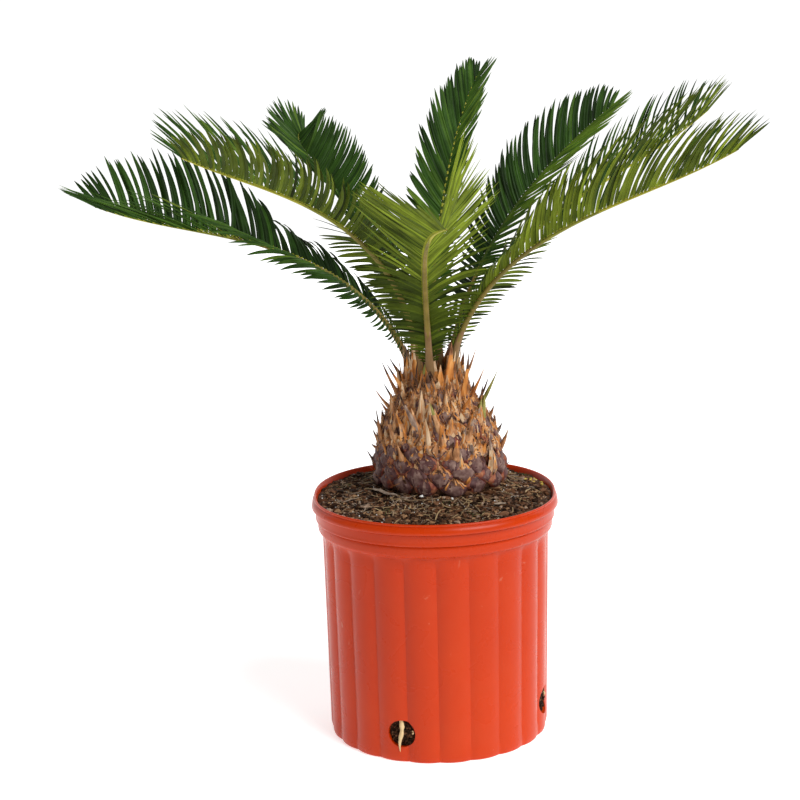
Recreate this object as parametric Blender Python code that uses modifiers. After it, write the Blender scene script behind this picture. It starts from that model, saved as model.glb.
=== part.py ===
"""Potted sago palm: a fluted nursery pot, its potting mix, a scaly trunk and a crown of fronds.

Metres, +Z up. The origin is the centre of the pot's flat underside, and the front is -Y.
"""
import math
from collections import namedtuple

import bmesh
import bpy
from mathutils import Vector
from mathutils.bvhtree import BVHTree

CLEARANCE = 0.0003

# Pot
RIM_RADIUS = 0.127
POT_HEIGHT = 0.2505
WALL = 0.0020
BODY_TOP_RADIUS = 0.1168
BODY_BASE_RADIUS = 0.1140
FOOT_RADIUS = 0.1115
FOOT_CORNER = 0.006
LIP_DEPTH = 0.0105
LIP_ARC = (115.0, -80.0)
LIP_STEPS = 5
BAND_RADIUS = 0.1230
BAND_DEPTH = 0.0125
COLLAR_RADIUS = 0.1200
COLLAR_DEPTH = 0.0120
BAND_BOTTOM = POT_HEIGHT - LIP_DEPTH - BAND_DEPTH
BODY_TOP = BAND_BOTTOM - COLLAR_DEPTH
FLUTE_TOP = BODY_TOP - 0.008
FLUTE_BOTTOM = 0.018
FLUTES = 22
FLUTE_DEPTH = 0.0030
STEPS_A_FLUTE = 4
FRONT_HEADING = -90.0
# Heading, height and radius of the drain holes
HOLES = ((-109.5, 0.0305, 0.0142), (-15.5, 0.0350, 0.0152), (73.0, 0.0305, 0.0142), (163.0, 0.0305, 0.0142))
CUTTER_LENGTH = 0.05
CUTTER_SIDES = 16
RIM_LIFT = 0.0050
RIM_BULGE = 0.0060

# Potting mix: nearly level with the rim, with a low mound that carries the trunk
SOIL_EDGE = 0.2455
SOIL_CROWN = 0.2570
MOUND_TOP_RADIUS = 0.068
MOUND_WAIST_RADIUS = 0.088
MOUND_WAIST = 0.2515
SOIL_STEPS = 44

# Trunk: a bulb of kite-shaped scales. Its radii run in even rows from the foot to the head
TRUNK_FOOT = Vector((0.0070, 0.0180, SOIL_CROWN + CLEARANCE))
TRUNK_HEAD = Vector((0.0020, 0.0180, SOIL_CROWN + CLEARANCE + 0.1120))
TRUNK_RADII = (0.0600, 0.0640, 0.0635, 0.0618, 0.0598, 0.0570, 0.0520, 0.0450, 0.0380, 0.0325, 0.0285)
LAST_ROW = len(TRUNK_RADII) - 1
SCALES_ROUND = 15
SCALE_RELIEF = 0.0042
SCALE_RISE = 0.0030
FIRST_SPINE_ROW = 3
CROWDED_SPINE_ROW = 8
SPINE_PERIOD = 4
SPINES_A_PERIOD = 2
SPINE_SHIFT = (2, 3)
SPINE_ROOT = 0.26
SPINE_LENGTH = ((FIRST_SPINE_ROW, 0.011), (LAST_ROW - 1, 0.029))
SPINE_SPREAD = ((FIRST_SPINE_ROW, 40.0), (LAST_ROW - 1, 20.0))

# Fronds. The tables give a value against the share of the rib's length
CROWN_BASE = TRUNK_HEAD.z + CLEARANCE
RIB_STEPS = 100
SLEEVE_STEPS = 24
RIB_HALF_WIDTH = ((0.0, 0.0042), (0.12, 0.0036), (0.5, 0.0024), (1.0, 0.0009))
RIB_FLATNESS = 0.80
LEAFLETS_A_SIDE = 26
FIRST_LEAFLET = 0.13
LAST_LEAFLET = 0.985
LEAF_LENGTH = ((0.12, 0.014), (0.25, 0.029), (0.40, 0.041), (0.50, 0.057), (0.60, 0.073),
               (0.75, 0.078), (0.90, 0.064), (1.0, 0.034))
LEAF_ANGLE = ((0.12, 82.0), (0.30, 72.0), (0.45, 66.0), (0.60, 57.0), (0.75, 48.0),
              (0.90, 40.0), (1.0, 15.0))
LEAF_LIFT = ((0.12, 0.0), (0.28, 8.0), (0.44, 42.0), (0.52, 48.0), (1.0, 50.0))
LEAF_DROOP = ((0.12, 0.6), (0.34, 0.7), (0.48, 0.0))
CURL_CENTRE = 0.45
LEAF_ELBOW = 0.62
LEAF_WIDTH = 0.0085
LEAF_THICKNESS = 0.0011
LEAF_ROOT_HALF_WIDTH = 0.0024
LEAF_ROOT_SHARE = 0.3
LEAF_CROWDING = 0.60
ROLL_FADE = (0.40, 0.56)
LEAF_REACHES = (1.0, 0.8, 0.6)
GUARD = 0.0006
GUARDED_FROM = 0.15

# Angles are in degrees and headings are counted from +X. The rib climbs at the angles foot, middle
# and tip, and its heading swings by the square of the way along. A positive roll lifts its right side,
# and late is how much further out than on the others its leaflets begin to rise
Frond = namedtuple("Frond", "name heading swing foot middle tip length start_radius start_heading "
                            "foot_roll tip_roll leaf_scale angle_scale late")
FRONDS = (
    Frond("frond_left", 168.5, -14.5, 77.5, 16, 17, 0.417, 0.0225, 174, 14, 14, 1.22, 1.22, 0.10),
    Frond("frond_front_left", 221.5, 12.5, 97, 31, 21, 0.412, 0.0215, 205, -24, 0, 1.30, 1.0, 0.05),
    Frond("frond_back_left", 153, -78, 84, 40, 0, 0.405, 0.0180, 138, 0, 0, 0.88, 1.05, 0.0),
    Frond("frond_back", 71, 3, 88, 57.5, 22.5, 0.382, 0.0205, 98, 0, 0, 0.72, 1.0, 0.0),
    Frond("frond_front", -92.5, 14, 61, 27, 8, 0.397, 0.0200, -101, -8, -5, 1.05, 1.25, 0.0),
    Frond("frond_front_right", -25.5, -6, 84.5, 29, 29, 0.402, 0.0215, -38, 24, 0, 1.16, 1.0, 0.0),
    Frond("frond_right", 8, 19, 87, 34, 35, 0.403, 0.0205, 6, 20, 0, 1.15, 1.05, 0.0),
    Frond("frond_back_right", 39, 3, 79.5, 44, 27.5, 0.376, 0.0215, 46, 0, 0, 0.74, 1.1, 0.0),
    Frond("frond_rear", 100, 4, 74, 10, -28, 0.360, 0.0240, 72, 0, 0, 0.85, 1.0, 0.0),
)

# How the leaflets of one side stand, 1 for the right side and -1 for the left: a factor on their angle,
# a factor on their length and degrees added to their lift, each at the five places, and their curl
HABIT_PLACES = (0.12, 0.32, 0.52, 0.75, 1.0)
Habit = namedtuple("Habit", "angle length lift curl")
EVEN = (1, 1, 1, 1, 1)
LEVEL = (0, 0, 0, 0, 0)
PLAIN_HABIT = Habit(EVEN, EVEN, LEVEL, 0.5)
HABITS = {
    ("frond_left", 1): Habit((.30, .42, .72, 1, 1), (1.2, 1.35, 1.15, 1, 1), (10, 20, 0, 0, 0), .35),
    ("frond_left", -1): Habit((.85, .7, .55, .62, .9), (1.3, 1.2, 1.15, 1.1, 1), (10, 20, 10, -10, -5), .8),
    ("frond_front_left", 1): Habit((.85, .8, 1.25, 1.3, 1.1), (.9, .75, .95, .92, .9), LEVEL, .7),
    ("frond_front_left", -1): Habit((.9, .85, .8, .85, .9), (1, .95, .85, .8, .85),
                                    (0, -10, -18, -16, -5), .75),
    ("frond_back_left", 1): Habit((.9, .9, 1, 1, 2.2), (1.2, 1.15, 1.05, .8, .75), (0, 0, 0, 0, -15), .45),
    ("frond_back_left", -1): Habit((.9, .9, 1, 1.2, 2.4), (1, 1, 1, .8, .9), (0, 0, -10, -18, 30), .45),
    ("frond_back", 1): Habit((.8, .7, .58, .62, .8), (1.1, 1.1, 1, .95, 1.2), (0, -10, -22, -22, -10), .45),
    ("frond_back", -1): Habit((.8, .75, .62, .42, .6), (1.3, 1.8, 1.5, 1.2, 1), LEVEL, .35),
    ("frond_back_right", 1): Habit((.8, .7, .7, .7, .8), (1.1, 1.2, 1.2, 1.1, 1.1),
                                   (0, -14, -38, -38, -30), .45),
    ("frond_back_right", -1): Habit((.8, .7, .6, .6, .8), (1.4, 1.6, 1.6, 1.3, 1), LEVEL, .6),
    ("frond_front", 1): Habit((.5, .5, .7, 1.1, 1.7), (2.2, 1.9, 1.3, 1, 1.3), (0, 0, -8, -10, -10), .35),
    ("frond_front", -1): Habit((.5, .6, 1.1, 1.8, 2.1), (2.2, 1.9, 1.4, 1.1, 1.7), (0, 0, -10, -2, 24), .2),
    ("frond_front_right", 1): Habit((.35, .5, .74, .76, .9), (1.3, 1.2, 1, 1, 1), LEVEL, .5),
    ("frond_front_right", -1): Habit((.75, .8, 1, 1, 1), EVEN, LEVEL, .6),
    ("frond_right", 1): Habit((.8, .8, .8, .85, 1), (1, 1, .9, 1, 1), LEVEL, .6),
    ("frond_right", -1): Habit((.6, .6, .72, .8, 1), (.9, .8, .8, .95, 1), LEVEL, .6),
}

# Plain colours, linear red, green and blue, with the roughness last
TERRACOTTA = (0.60, 0.060, 0.018, 0.42)
POTTING_MIX = (0.045, 0.030, 0.020, 0.95)
BARK = (0.20, 0.095, 0.045, 0.85)
LEAF = (0.040, 0.115, 0.022, 0.45)


def between(table, place):
    """Read a table of (place, value) rows, on the straight line between two of them."""
    if place <= table[0][0]:
        return table[0][1]
    for (low, first), (high, second) in zip(table, table[1:]):
        if place <= high:
            return first + (second - first) * (place - low) / (high - low)
    return table[-1][1]


def compass(heading):
    """The level direction at a heading in degrees."""
    angle = math.radians(heading)
    return Vector((math.cos(angle), math.sin(angle), 0.0))


def clear_scene():
    for item in list(bpy.data.objects):
        bpy.data.objects.remove(item, do_unlink=True)


def new_collection(name):
    collection = bpy.data.collections.new(name)
    bpy.context.scene.collection.children.link(collection)
    return collection


def plain_material(name, look):
    material = bpy.data.materials.new(name)
    material.use_nodes = True
    shader = material.node_tree.nodes["Principled BSDF"]
    shader.inputs["Base Color"].default_value = (*look[:3], 1.0)
    shader.inputs["Roughness"].default_value = look[3]
    shader.inputs["Metallic"].default_value = 0.0
    return material


def add_object(name, mesh, collection, material):
    item = bpy.data.objects.new(name, mesh)
    collection.objects.link(item)
    mesh.materials.append(material)
    return item


def finish_mesh(name, mesh):
    """Turn a bmesh whose skin is closed into mesh data with its faces pointing out."""
    bmesh.ops.recalc_face_normals(mesh, faces=mesh.faces)
    data = bpy.data.meshes.new(name)
    mesh.to_mesh(data)
    mesh.free()
    return data


def arc(centre, radius, start, end, steps):
    """Points of a round stretch of a profile, as (radius, height) pairs."""
    points = []
    for step in range(steps + 1):
        angle = math.radians(start + (end - start) * step / steps)
        points.append((centre[0] + radius * math.cos(angle), centre[1] + radius * math.sin(angle)))
    return points


def turned_mesh(name, profile, steps):
    """Turn a profile of (radius, height) pairs, whose outer side runs from the top down."""
    outline = bpy.data.meshes.new(name + "_profile")
    points = [(radius, 0.0, height) for radius, height in profile]
    edges = [(index, index + 1) for index in range(len(points) - 1)]
    outline.from_pydata(points, edges, [])
    item = bpy.data.objects.new(name + "_profile", outline)
    bpy.context.scene.collection.objects.link(item)
    screw = item.modifiers.new("turn", "SCREW")
    screw.axis = "Z"
    screw.angle = 2.0 * math.pi
    screw.steps = steps
    screw.render_steps = steps
    screw.use_merge_vertices = True
    screw.merge_threshold = 0.00001
    bpy.context.view_layer.update()
    graph = bpy.context.evaluated_depsgraph_get()
    turned = bpy.data.meshes.new_from_object(item.evaluated_get(graph), depsgraph=graph)
    turned.name = name
    bpy.data.objects.remove(item, do_unlink=True)
    return turned


def pot_profile():
    """Inner floor and wall, rolled lip, band, collar, body and flat underside."""
    base = BODY_BASE_RADIUS - FLUTE_DEPTH - WALL
    top = BODY_TOP_RADIUS - FLUTE_DEPTH - WALL
    lip_centre = (RIM_RADIUS - 0.5 * LIP_DEPTH, POT_HEIGHT - 0.5 * LIP_DEPTH)
    lip_bottom = POT_HEIGHT - LIP_DEPTH
    inside = [(0.0, WALL), (base - FOOT_CORNER, WALL), (base, WALL + FOOT_CORNER), (top, BODY_TOP),
              (COLLAR_RADIUS - WALL, BODY_TOP + WALL), (COLLAR_RADIUS - WALL, BAND_BOTTOM),
              (BAND_RADIUS - WALL, BAND_BOTTOM + WALL), (BAND_RADIUS - WALL, POT_HEIGHT - WALL)]
    lip = arc(lip_centre, 0.5 * LIP_DEPTH, *LIP_ARC, LIP_STEPS)
    outside = [(BAND_RADIUS, lip_bottom - 0.5 * WALL), (BAND_RADIUS, BAND_BOTTOM),
               (COLLAR_RADIUS, BAND_BOTTOM - 0.5 * WALL), (COLLAR_RADIUS, BODY_TOP),
               (BODY_TOP_RADIUS, BODY_TOP - WALL), (BODY_TOP_RADIUS, FLUTE_TOP),
               (BODY_BASE_RADIUS, FLUTE_BOTTOM), (BODY_BASE_RADIUS - 0.5 * WALL, FOOT_CORNER),
               (FOOT_RADIUS, 0.0), (0.0, 0.0)]
    return inside + lip + outside


def press_flutes(mesh):
    """Draw the body's outer wall in between its crests, which leaves convex lobes."""
    wall = ((0.0, FOOT_RADIUS), (FOOT_CORNER, BODY_BASE_RADIUS), (BODY_TOP, BODY_TOP_RADIUS))
    depth = ((0.0, 0.7 * FLUTE_DEPTH), (FLUTE_BOTTOM, FLUTE_DEPTH), (FLUTE_TOP, FLUTE_DEPTH),
             (BODY_TOP - WALL, 0.0))
    for vertex in mesh.vertices:
        radius = math.hypot(vertex.co.x, vertex.co.y)
        if abs(radius - between(wall, vertex.co.z)) > WALL:
            continue
        heading = math.degrees(math.atan2(vertex.co.y, vertex.co.x)) - FRONT_HEADING
        off_crest = 2.0 * (heading * FLUTES / 360.0 % 1.0) - 1.0
        shrink = 1.0 - between(depth, vertex.co.z) * off_crest ** 2 / radius
        vertex.co.x *= shrink
        vertex.co.y *= shrink


def warp_rim(mesh):
    """Bend the rim as the thin plastic does: its rear half stands higher, with fuller shoulders."""
    for vertex in mesh.vertices:
        radius = math.hypot(vertex.co.x, vertex.co.y)
        if vertex.co.z < BODY_TOP or radius < MOUND_WAIST_RADIUS:
            continue
        share = (vertex.co.z - BODY_TOP) / (POT_HEIGHT - BODY_TOP)
        share *= (radius - MOUND_WAIST_RADIUS) / (RIM_RADIUS - MOUND_WAIST_RADIUS)
        rear = max(0.0, vertex.co.y / radius)
        shoulder = 2.0 * rear * abs(vertex.co.x) / radius
        stretch = 1.0 + share * RIM_BULGE * shoulder / radius
        vertex.co.x *= stretch
        vertex.co.y *= stretch
        vertex.co.z += share * RIM_LIFT * (1.0 - (1.0 - rear) ** 2)


def hole_cutter(heading, height, radius, collection):
    bpy.ops.mesh.primitive_cylinder_add(vertices=CUTTER_SIDES, radius=radius, depth=CUTTER_LENGTH)
    cutter = bpy.context.active_object
    cutter.name = "drain_hole_cutter"
    cutter.rotation_euler = (0.0, math.radians(90.0), math.radians(heading))
    cutter.location = compass(heading) * BODY_BASE_RADIUS + Vector((0.0, 0.0, height))
    cutter.hide_render = True
    cutter.display_type = "WIRE"
    for owner in list(cutter.users_collection):
        owner.objects.unlink(cutter)
    collection.objects.link(cutter)
    return cutter


def make_pot(collection, cutters, material):
    mesh = turned_mesh("pot", pot_profile(), FLUTES * STEPS_A_FLUTE)
    press_flutes(mesh)
    warp_rim(mesh)
    pot = add_object("pot", mesh, collection, material)
    for heading, height, radius in HOLES:
        cut = pot.modifiers.new("drain_hole", "BOOLEAN")
        cut.operation = "DIFFERENCE"
        cut.solver = "EXACT"
        cut.object = hole_cutter(heading, height, radius, cutters)


def make_soil(collection, material):
    """Fill the pot, and slide the mound's flat top under the trunk."""
    shrink = WALL + CLEARANCE
    base = BODY_BASE_RADIUS - FLUTE_DEPTH - shrink
    top = BODY_TOP_RADIUS - FLUTE_DEPTH - shrink
    profile = [(0.0, SOIL_CROWN), (MOUND_TOP_RADIUS, SOIL_CROWN), (MOUND_WAIST_RADIUS, MOUND_WAIST),
               (BAND_RADIUS - shrink, SOIL_EDGE), (BAND_RADIUS - shrink, BAND_BOTTOM + shrink),
               (COLLAR_RADIUS - shrink, BAND_BOTTOM + CLEARANCE), (COLLAR_RADIUS - shrink, BODY_TOP + shrink),
               (top, BODY_TOP + CLEARANCE), (base, shrink + FOOT_CORNER), (base - FOOT_CORNER, shrink),
               (0.0, shrink)]
    mesh = turned_mesh("soil", profile, SOIL_STEPS)
    for vertex in mesh.vertices:
        share = max(0.0, (vertex.co.z - SOIL_EDGE) / (SOIL_CROWN - SOIL_EDGE))
        vertex.co.x += share * TRUNK_FOOT.x
        vertex.co.y += share * TRUNK_FOOT.y
    warp_rim(mesh)
    add_object("soil", mesh, collection, material)


def trunk_point(row, step):
    """A corner of the lattice of scales, whose rows are set half a scale apart."""
    centre = TRUNK_FOOT.lerp(TRUNK_HEAD, row / LAST_ROW)
    heading = 360.0 * (step + 0.5 * (row % 2)) / SCALES_ROUND
    return centre + compass(heading) * TRUNK_RADII[row]


def spine_root(corners, apex):
    middle = sum((corner.co for corner in corners), Vector()) / len(corners)
    return [apex + (corner.co - middle) * SPINE_ROOT for corner in corners]


def close_to_point(mesh, ring, point):
    peak = mesh.verts.new(point)
    for index, corner in enumerate(ring):
        mesh.faces.new((corner, ring[(index + 1) % len(ring)], peak))


def bridge(mesh, ring, places):
    """Join a ring of corners to a new ring at the given places, and return the new ring."""
    new_ring = [mesh.verts.new(place) for place in places]
    for index, corner in enumerate(ring):
        following = (index + 1) % len(ring)
        mesh.faces.new((corner, ring[following], new_ring[following], new_ring[index]))
    return new_ring


def add_scale(mesh, corners, row, step, ribs):
    """Raise one scale to a blunt point, or to a slim spine where one stands clear of the ribs."""
    middle = sum((corner.co for corner in corners), Vector()) / len(corners)
    outward = middle - TRUNK_FOOT.lerp(TRUNK_HEAD, row / LAST_ROW)
    outward.z = 0.0
    outward.normalize()
    apex = middle + outward * SCALE_RELIEF + Vector((0.0, 0.0, SCALE_RISE))
    spread = math.radians(between(SPINE_SPREAD, row))
    along = outward * math.sin(spread) + Vector((0.0, 0.0, math.cos(spread)))
    tip = apex + along * between(SPINE_LENGTH, row)
    root = spine_root(corners, apex)
    turn = (SPINE_SHIFT[0] * row + SPINE_SHIFT[1] * step) % SPINE_PERIOD
    chosen = row >= FIRST_SPINE_ROW and turn < SPINES_A_PERIOD
    if (chosen or row >= CROWDED_SPINE_ROW) and not cone_tree(root, tip).overlap(ribs):
        corners = bridge(mesh, corners, root)
        apex = tip
    close_to_point(mesh, corners, apex)


def cone_tree(root, tip):
    faces = [(index, (index + 1) % len(root), len(root)) for index in range(len(root))]
    return BVHTree.FromPolygons(root + [tip], faces)


def make_trunk(collection, material, ribs):
    """A closed bulb whose skin is a lattice of kites, flat at its foot and at its head."""
    mesh = bmesh.new()
    grid = [[mesh.verts.new(trunk_point(row, step)) for step in range(SCALES_ROUND)]
            for row in range(LAST_ROW + 1)]

    def corner(row, step):
        return grid[row][step % SCALES_ROUND]

    for row in range(1, LAST_ROW):
        for step in range(SCALES_ROUND):
            middle = step + row % 2
            kite = [corner(row - 1, middle), corner(row, step + 1), corner(row + 1, middle), corner(row, step)]
            add_scale(mesh, kite, row, step, ribs)
    for step in range(SCALES_ROUND):
        mesh.faces.new((corner(0, step), corner(0, step + 1), corner(1, step)))
        below = corner(LAST_ROW - 1, step + LAST_ROW % 2)
        mesh.faces.new((corner(LAST_ROW, step + 1), corner(LAST_ROW, step), below))
    mesh.faces.new(list(reversed(grid[0])))
    mesh.faces.new(grid[LAST_ROW])
    tree = BVHTree.FromBMesh(mesh)
    add_object("trunk", finish_mesh("trunk", mesh), collection, material)
    return tree


def rib_direction(frond, share):
    heading = compass(frond.heading + frond.swing * share ** 2)
    climb = (frond.foot * (1.0 - share) * (1.0 - 2.0 * share) + frond.middle * 4.0 * share * (1.0 - share)
             + frond.tip * share * (2.0 * share - 1.0))
    climb = math.radians(climb)
    return heading * math.cos(climb) + Vector((0.0, 0.0, math.sin(climb)))


def rib_path(frond):
    """Walk the rib from the trunk's head in even steps."""
    start = Vector((TRUNK_HEAD.x, TRUNK_HEAD.y, CROWN_BASE))
    path = [start + compass(frond.start_heading) * frond.start_radius]
    for step in range(RIB_STEPS):
        along = rib_direction(frond, (step + 0.5) / RIB_STEPS)
        path.append(path[-1] + along * frond.length / RIB_STEPS)
    return path


def rib_frame(frond, path, share):
    """Centre, direction, right side and upper side of the rib at a share of its length."""
    place = share * RIB_STEPS
    index = min(int(place), RIB_STEPS - 1)
    centre = path[index].lerp(path[index + 1], place - index)
    along = rib_direction(frond, share) if share > 0.0 else Vector((0.0, 0.0, 1.0))
    side = compass(frond.heading + frond.swing * share ** 2 - 90.0)
    upper = side.cross(along)
    fade = min(1.0, max(0.0, (ROLL_FADE[1] - share) / (ROLL_FADE[1] - ROLL_FADE[0])))
    roll = math.radians(frond.tip_roll + (frond.foot_roll - frond.tip_roll) * fade)
    rolled_side = side * math.cos(roll) + upper * math.sin(roll)
    rolled_upper = upper * math.cos(roll) - side * math.sin(roll)
    return centre, along, rolled_side, rolled_upper


def rib_section(frond, path, share, guard=0.0):
    """Corners of the rib's section: upper and lower right, lower and upper left."""
    centre, _, side, upper = rib_frame(frond, path, share)
    half_width = between(RIB_HALF_WIDTH, share)
    across = side * (half_width + guard)
    rise = upper * (half_width * RIB_FLATNESS + guard)
    return [centre + across + rise, centre + across - rise, centre - across - rise, centre - across + rise]


def rib_polygons(frond, path):
    """A guarded sleeve round the rib, as points and faces for the tests of clearance."""
    points = []
    faces = []
    for step in range(SLEEVE_STEPS + 1):
        points += rib_section(frond, path, step / SLEEVE_STEPS, GUARD)
    for step in range(SLEEVE_STEPS):
        for index in range(4):
            first = 4 * step + index
            second = 4 * step + (index + 1) % 4
            faces.append((first, second, second + 4, first + 4))
    return points, faces


def ribs_tree(fronds, paths):
    points = []
    faces = []
    for frond in fronds:
        sleeve, sleeve_faces = rib_polygons(frond, paths[frond.name])
        faces += [tuple(index + len(points) for index in face) for face in sleeve_faces]
        points += sleeve
    return BVHTree.FromPolygons(points, faces)


def blade_section(centre, along, across, width, thickness, upper):
    """Four corners of a leaflet's section: upper near and far, lower far and near."""
    face = along.cross(across).normalized()
    if face.dot(upper) < 0.0:
        face.negate()
    half_across = across * 0.5 * width
    half_face = face * 0.5 * thickness
    return [centre - half_across + half_face, centre + half_across + half_face,
            centre + half_across - half_face, centre - half_across - half_face]


def read_habit(values, share):
    return between(tuple(zip(HABIT_PLACES, values)), share)


def leaflet(frond, path, share, hand, reach):
    """Elbow section, tip and guarded outer part of one leaflet. Hand is 1 on the right, -1 on the left."""
    centre, along, side, upper = rib_frame(frond, path, share)
    habit = HABITS.get((frond.name, hand), PLAIN_HABIT)
    length = between(LEAF_LENGTH, share) * frond.leaf_scale * read_habit(habit.length, share) * reach
    angle = between(LEAF_ANGLE, share) * frond.angle_scale
    angle = math.radians(angle * read_habit(habit.angle, share))
    lift = math.radians(between(LEAF_LIFT, share - frond.late) + read_habit(habit.lift, share))
    droop = Vector((0.0, 0.0, -between(LEAF_DROOP, share - frond.late)))
    outward = side * hand * math.cos(lift) + upper * math.sin(lift)

    def heading(place):
        bend = angle * (1.0 + habit.curl * (CURL_CENTRE - place))
        return (along * math.cos(bend) + outward * math.sin(bend) + droop * place).normalized()

    inner = heading(0.5 * LEAF_ELBOW)
    outer = heading(0.5 + 0.5 * LEAF_ELBOW)
    root = centre + side * hand * between(RIB_HALF_WIDTH, share)
    elbow = root + inner * length * LEAF_ELBOW
    tip = elbow + outer * length * (1.0 - LEAF_ELBOW)
    across = (along - inner * along.dot(inner)).normalized()
    pitch = frond.length * (LAST_LEAFLET - FIRST_LEAFLET) / (LEAFLETS_A_SIDE - 1)
    width = min(LEAF_WIDTH, LEAF_CROWDING * pitch * math.sin(angle))
    section = blade_section(elbow, inner, across, width, LEAF_THICKNESS, upper)
    guarded = blade_section(root.lerp(elbow, GUARDED_FROM / LEAF_ELBOW), inner, across,
                            width + 2.0 * GUARD, LEAF_THICKNESS + 2.0 * GUARD, upper)
    guarded += blade_section(elbow, inner, across, width + 2.0 * GUARD, LEAF_THICKNESS + 2.0 * GUARD, upper)
    guarded.append(tip + outer * GUARD)
    return section, tip, guarded


def guard_tree(guarded):
    """The outer part of a leaflet, a little fattened: two sections and a point."""
    faces = [(0, 1, 2, 3)]
    for index in range(4):
        following = (index + 1) % 4
        faces.append((index, following, following + 4, index + 4))
        faces.append((index + 4, following + 4, 8))
    return BVHTree.FromPolygons(guarded, faces)


def fitting_leaflet(frond, path, share, hand, obstacles):
    """The longest leaflet that stands clear of the obstacles, or None where even a short one does not."""
    for reach in LEAF_REACHES:
        section, tip, guarded = leaflet(frond, path, share, hand, reach)
        tree = guard_tree(guarded)
        if not any(tree.overlap(obstacle) for obstacle in obstacles):
            return section, tip, tree
    return None


def make_frond(frond, path, obstacles, collection, material):
    """One closed blade: a tapering rib with leaflets that grow out of its two side faces."""
    mesh = bmesh.new()
    own_leaflets = []
    pitch = (LAST_LEAFLET - FIRST_LEAFLET) / (LEAFLETS_A_SIDE - 1)
    ring = [mesh.verts.new(place) for place in rib_section(frond, path, 0.0)]
    mesh.faces.new(list(reversed(ring)))
    for index in range(LEAFLETS_A_SIDE):
        share = FIRST_LEAFLET + index * pitch
        half_root = min(LEAF_ROOT_HALF_WIDTH / frond.length, LEAF_ROOT_SHARE * pitch)
        ring = bridge(mesh, ring, rib_section(frond, path, share - half_root))
        next_ring = [mesh.verts.new(place) for place in rib_section(frond, path, share + half_root)]
        mesh.faces.new((ring[3], ring[0], next_ring[0], next_ring[3]))
        mesh.faces.new((ring[1], ring[2], next_ring[2], next_ring[1]))
        right_root = [ring[0], next_ring[0], next_ring[1], ring[1]]
        left_root = [ring[3], next_ring[3], next_ring[2], ring[2]]
        for hand, root in ((1, right_root), (-1, left_root)):
            found = fitting_leaflet(frond, path, share, hand, obstacles + own_leaflets)
            if found is None:
                mesh.faces.new(root)
                continue
            section, tip, tree = found
            close_to_point(mesh, bridge(mesh, root, section), tip)
            own_leaflets.append(tree)
        ring = next_ring
    ring = bridge(mesh, ring, rib_section(frond, path, 1.0))
    mesh.faces.new(ring)
    tree = BVHTree.FromBMesh(mesh)
    add_object(frond.name, finish_mesh(frond.name, mesh), collection, material)
    return tree


def make_crown(collection, material, trunk_tree, paths):
    """Grow the fronds in turn, each clear of the trunk, of the other ribs and of what grew before."""
    grown = [trunk_tree]
    for frond in FRONDS:
        others = [other for other in FRONDS if other is not frond]
        obstacles = grown + [ribs_tree(others, paths)]
        grown.append(make_frond(frond, paths[frond.name], obstacles, collection, material))


def build():
    clear_scene()
    parts = new_collection("potted_sago_palm")
    cutters = new_collection("cutters")
    terracotta = plain_material("terracotta_plastic", TERRACOTTA)
    potting_mix = plain_material("potting_mix", POTTING_MIX)
    bark = plain_material("bark", BARK)
    leaf = plain_material("leaf", LEAF)
    paths = {frond.name: rib_path(frond) for frond in FRONDS}
    make_pot(parts, cutters, terracotta)
    make_soil(parts, potting_mix)
    trunk_tree = make_trunk(parts, bark, ribs_tree(FRONDS, paths))
    make_crown(parts, leaf, trunk_tree, paths)


build()
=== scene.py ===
"""Potted sago palm, dressed: fine fronds, a scaly trunk, potting mix and a fluted pot.

Metres, +Z up. The origin is the centre of the pot's flat underside, and the front is -Y.
"""
import math
from collections import namedtuple
from itertools import combinations

import bpy
import numpy as np
from mathutils import Matrix, Vector, noise


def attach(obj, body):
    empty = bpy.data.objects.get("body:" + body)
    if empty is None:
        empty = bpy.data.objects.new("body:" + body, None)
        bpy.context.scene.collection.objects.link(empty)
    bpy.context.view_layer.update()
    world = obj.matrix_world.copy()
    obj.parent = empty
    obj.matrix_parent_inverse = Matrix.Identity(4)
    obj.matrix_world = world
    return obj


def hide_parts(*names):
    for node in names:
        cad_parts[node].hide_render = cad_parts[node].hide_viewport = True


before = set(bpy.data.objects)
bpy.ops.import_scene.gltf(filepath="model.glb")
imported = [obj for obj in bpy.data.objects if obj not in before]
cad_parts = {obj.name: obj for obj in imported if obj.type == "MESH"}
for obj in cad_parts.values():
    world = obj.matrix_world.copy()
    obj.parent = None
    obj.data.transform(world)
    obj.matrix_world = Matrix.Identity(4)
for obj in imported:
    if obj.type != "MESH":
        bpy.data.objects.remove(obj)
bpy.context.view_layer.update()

# Camera, light and stage. The lengths are in metres and the angles in degrees
IMAGE_SIDE = 800
FOCAL_PIXELS = 1776.0
SENSOR = 36.0
CAMERA_PLACE = (0.0, -1.777, 0.713)
CAMERA_PITCH = 11.6
CAMERA_ROLL = 1.21
FRAME_SHIFT = -32.6
WORLD_LIGHT = 0.24
KEY_LIGHT = 2.9
KEY_SOFTNESS = 34.0
KEY_FROM = (1.25, -1.15, 1.6)
BACKDROP_LIGHT = 1.05
FLOOR_GLOW = 0.60
FLOOR_HALF = 9.0
FLOOR_TONES = ((0.90, 0.90, 0.90), (0.92, 0.92, 0.92))
BACKDROP_PLACE = 4.5
BACKDROP_FOOT = -0.01
BACKDROP_HEIGHT = 6.0
WHITE = (1.0, 1.0, 1.0, 1.0)
BLACK = (0.0, 0.0, 0.0, 1.0)

MM = 0.001

# Each part's own random numbers
DRAW_SEEDS = {"crumbs": 31, "perlite": 32, "seeds": 33, "straws": 34, "moss": 35, "roots": 36, "hole mix": 37,
              "scales": 51, "spines": 52, "bracts": 53, "flakes": 54, "fibres": 55, "sheaths": 56}
LEAFLET_SEEDS = 100

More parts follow.
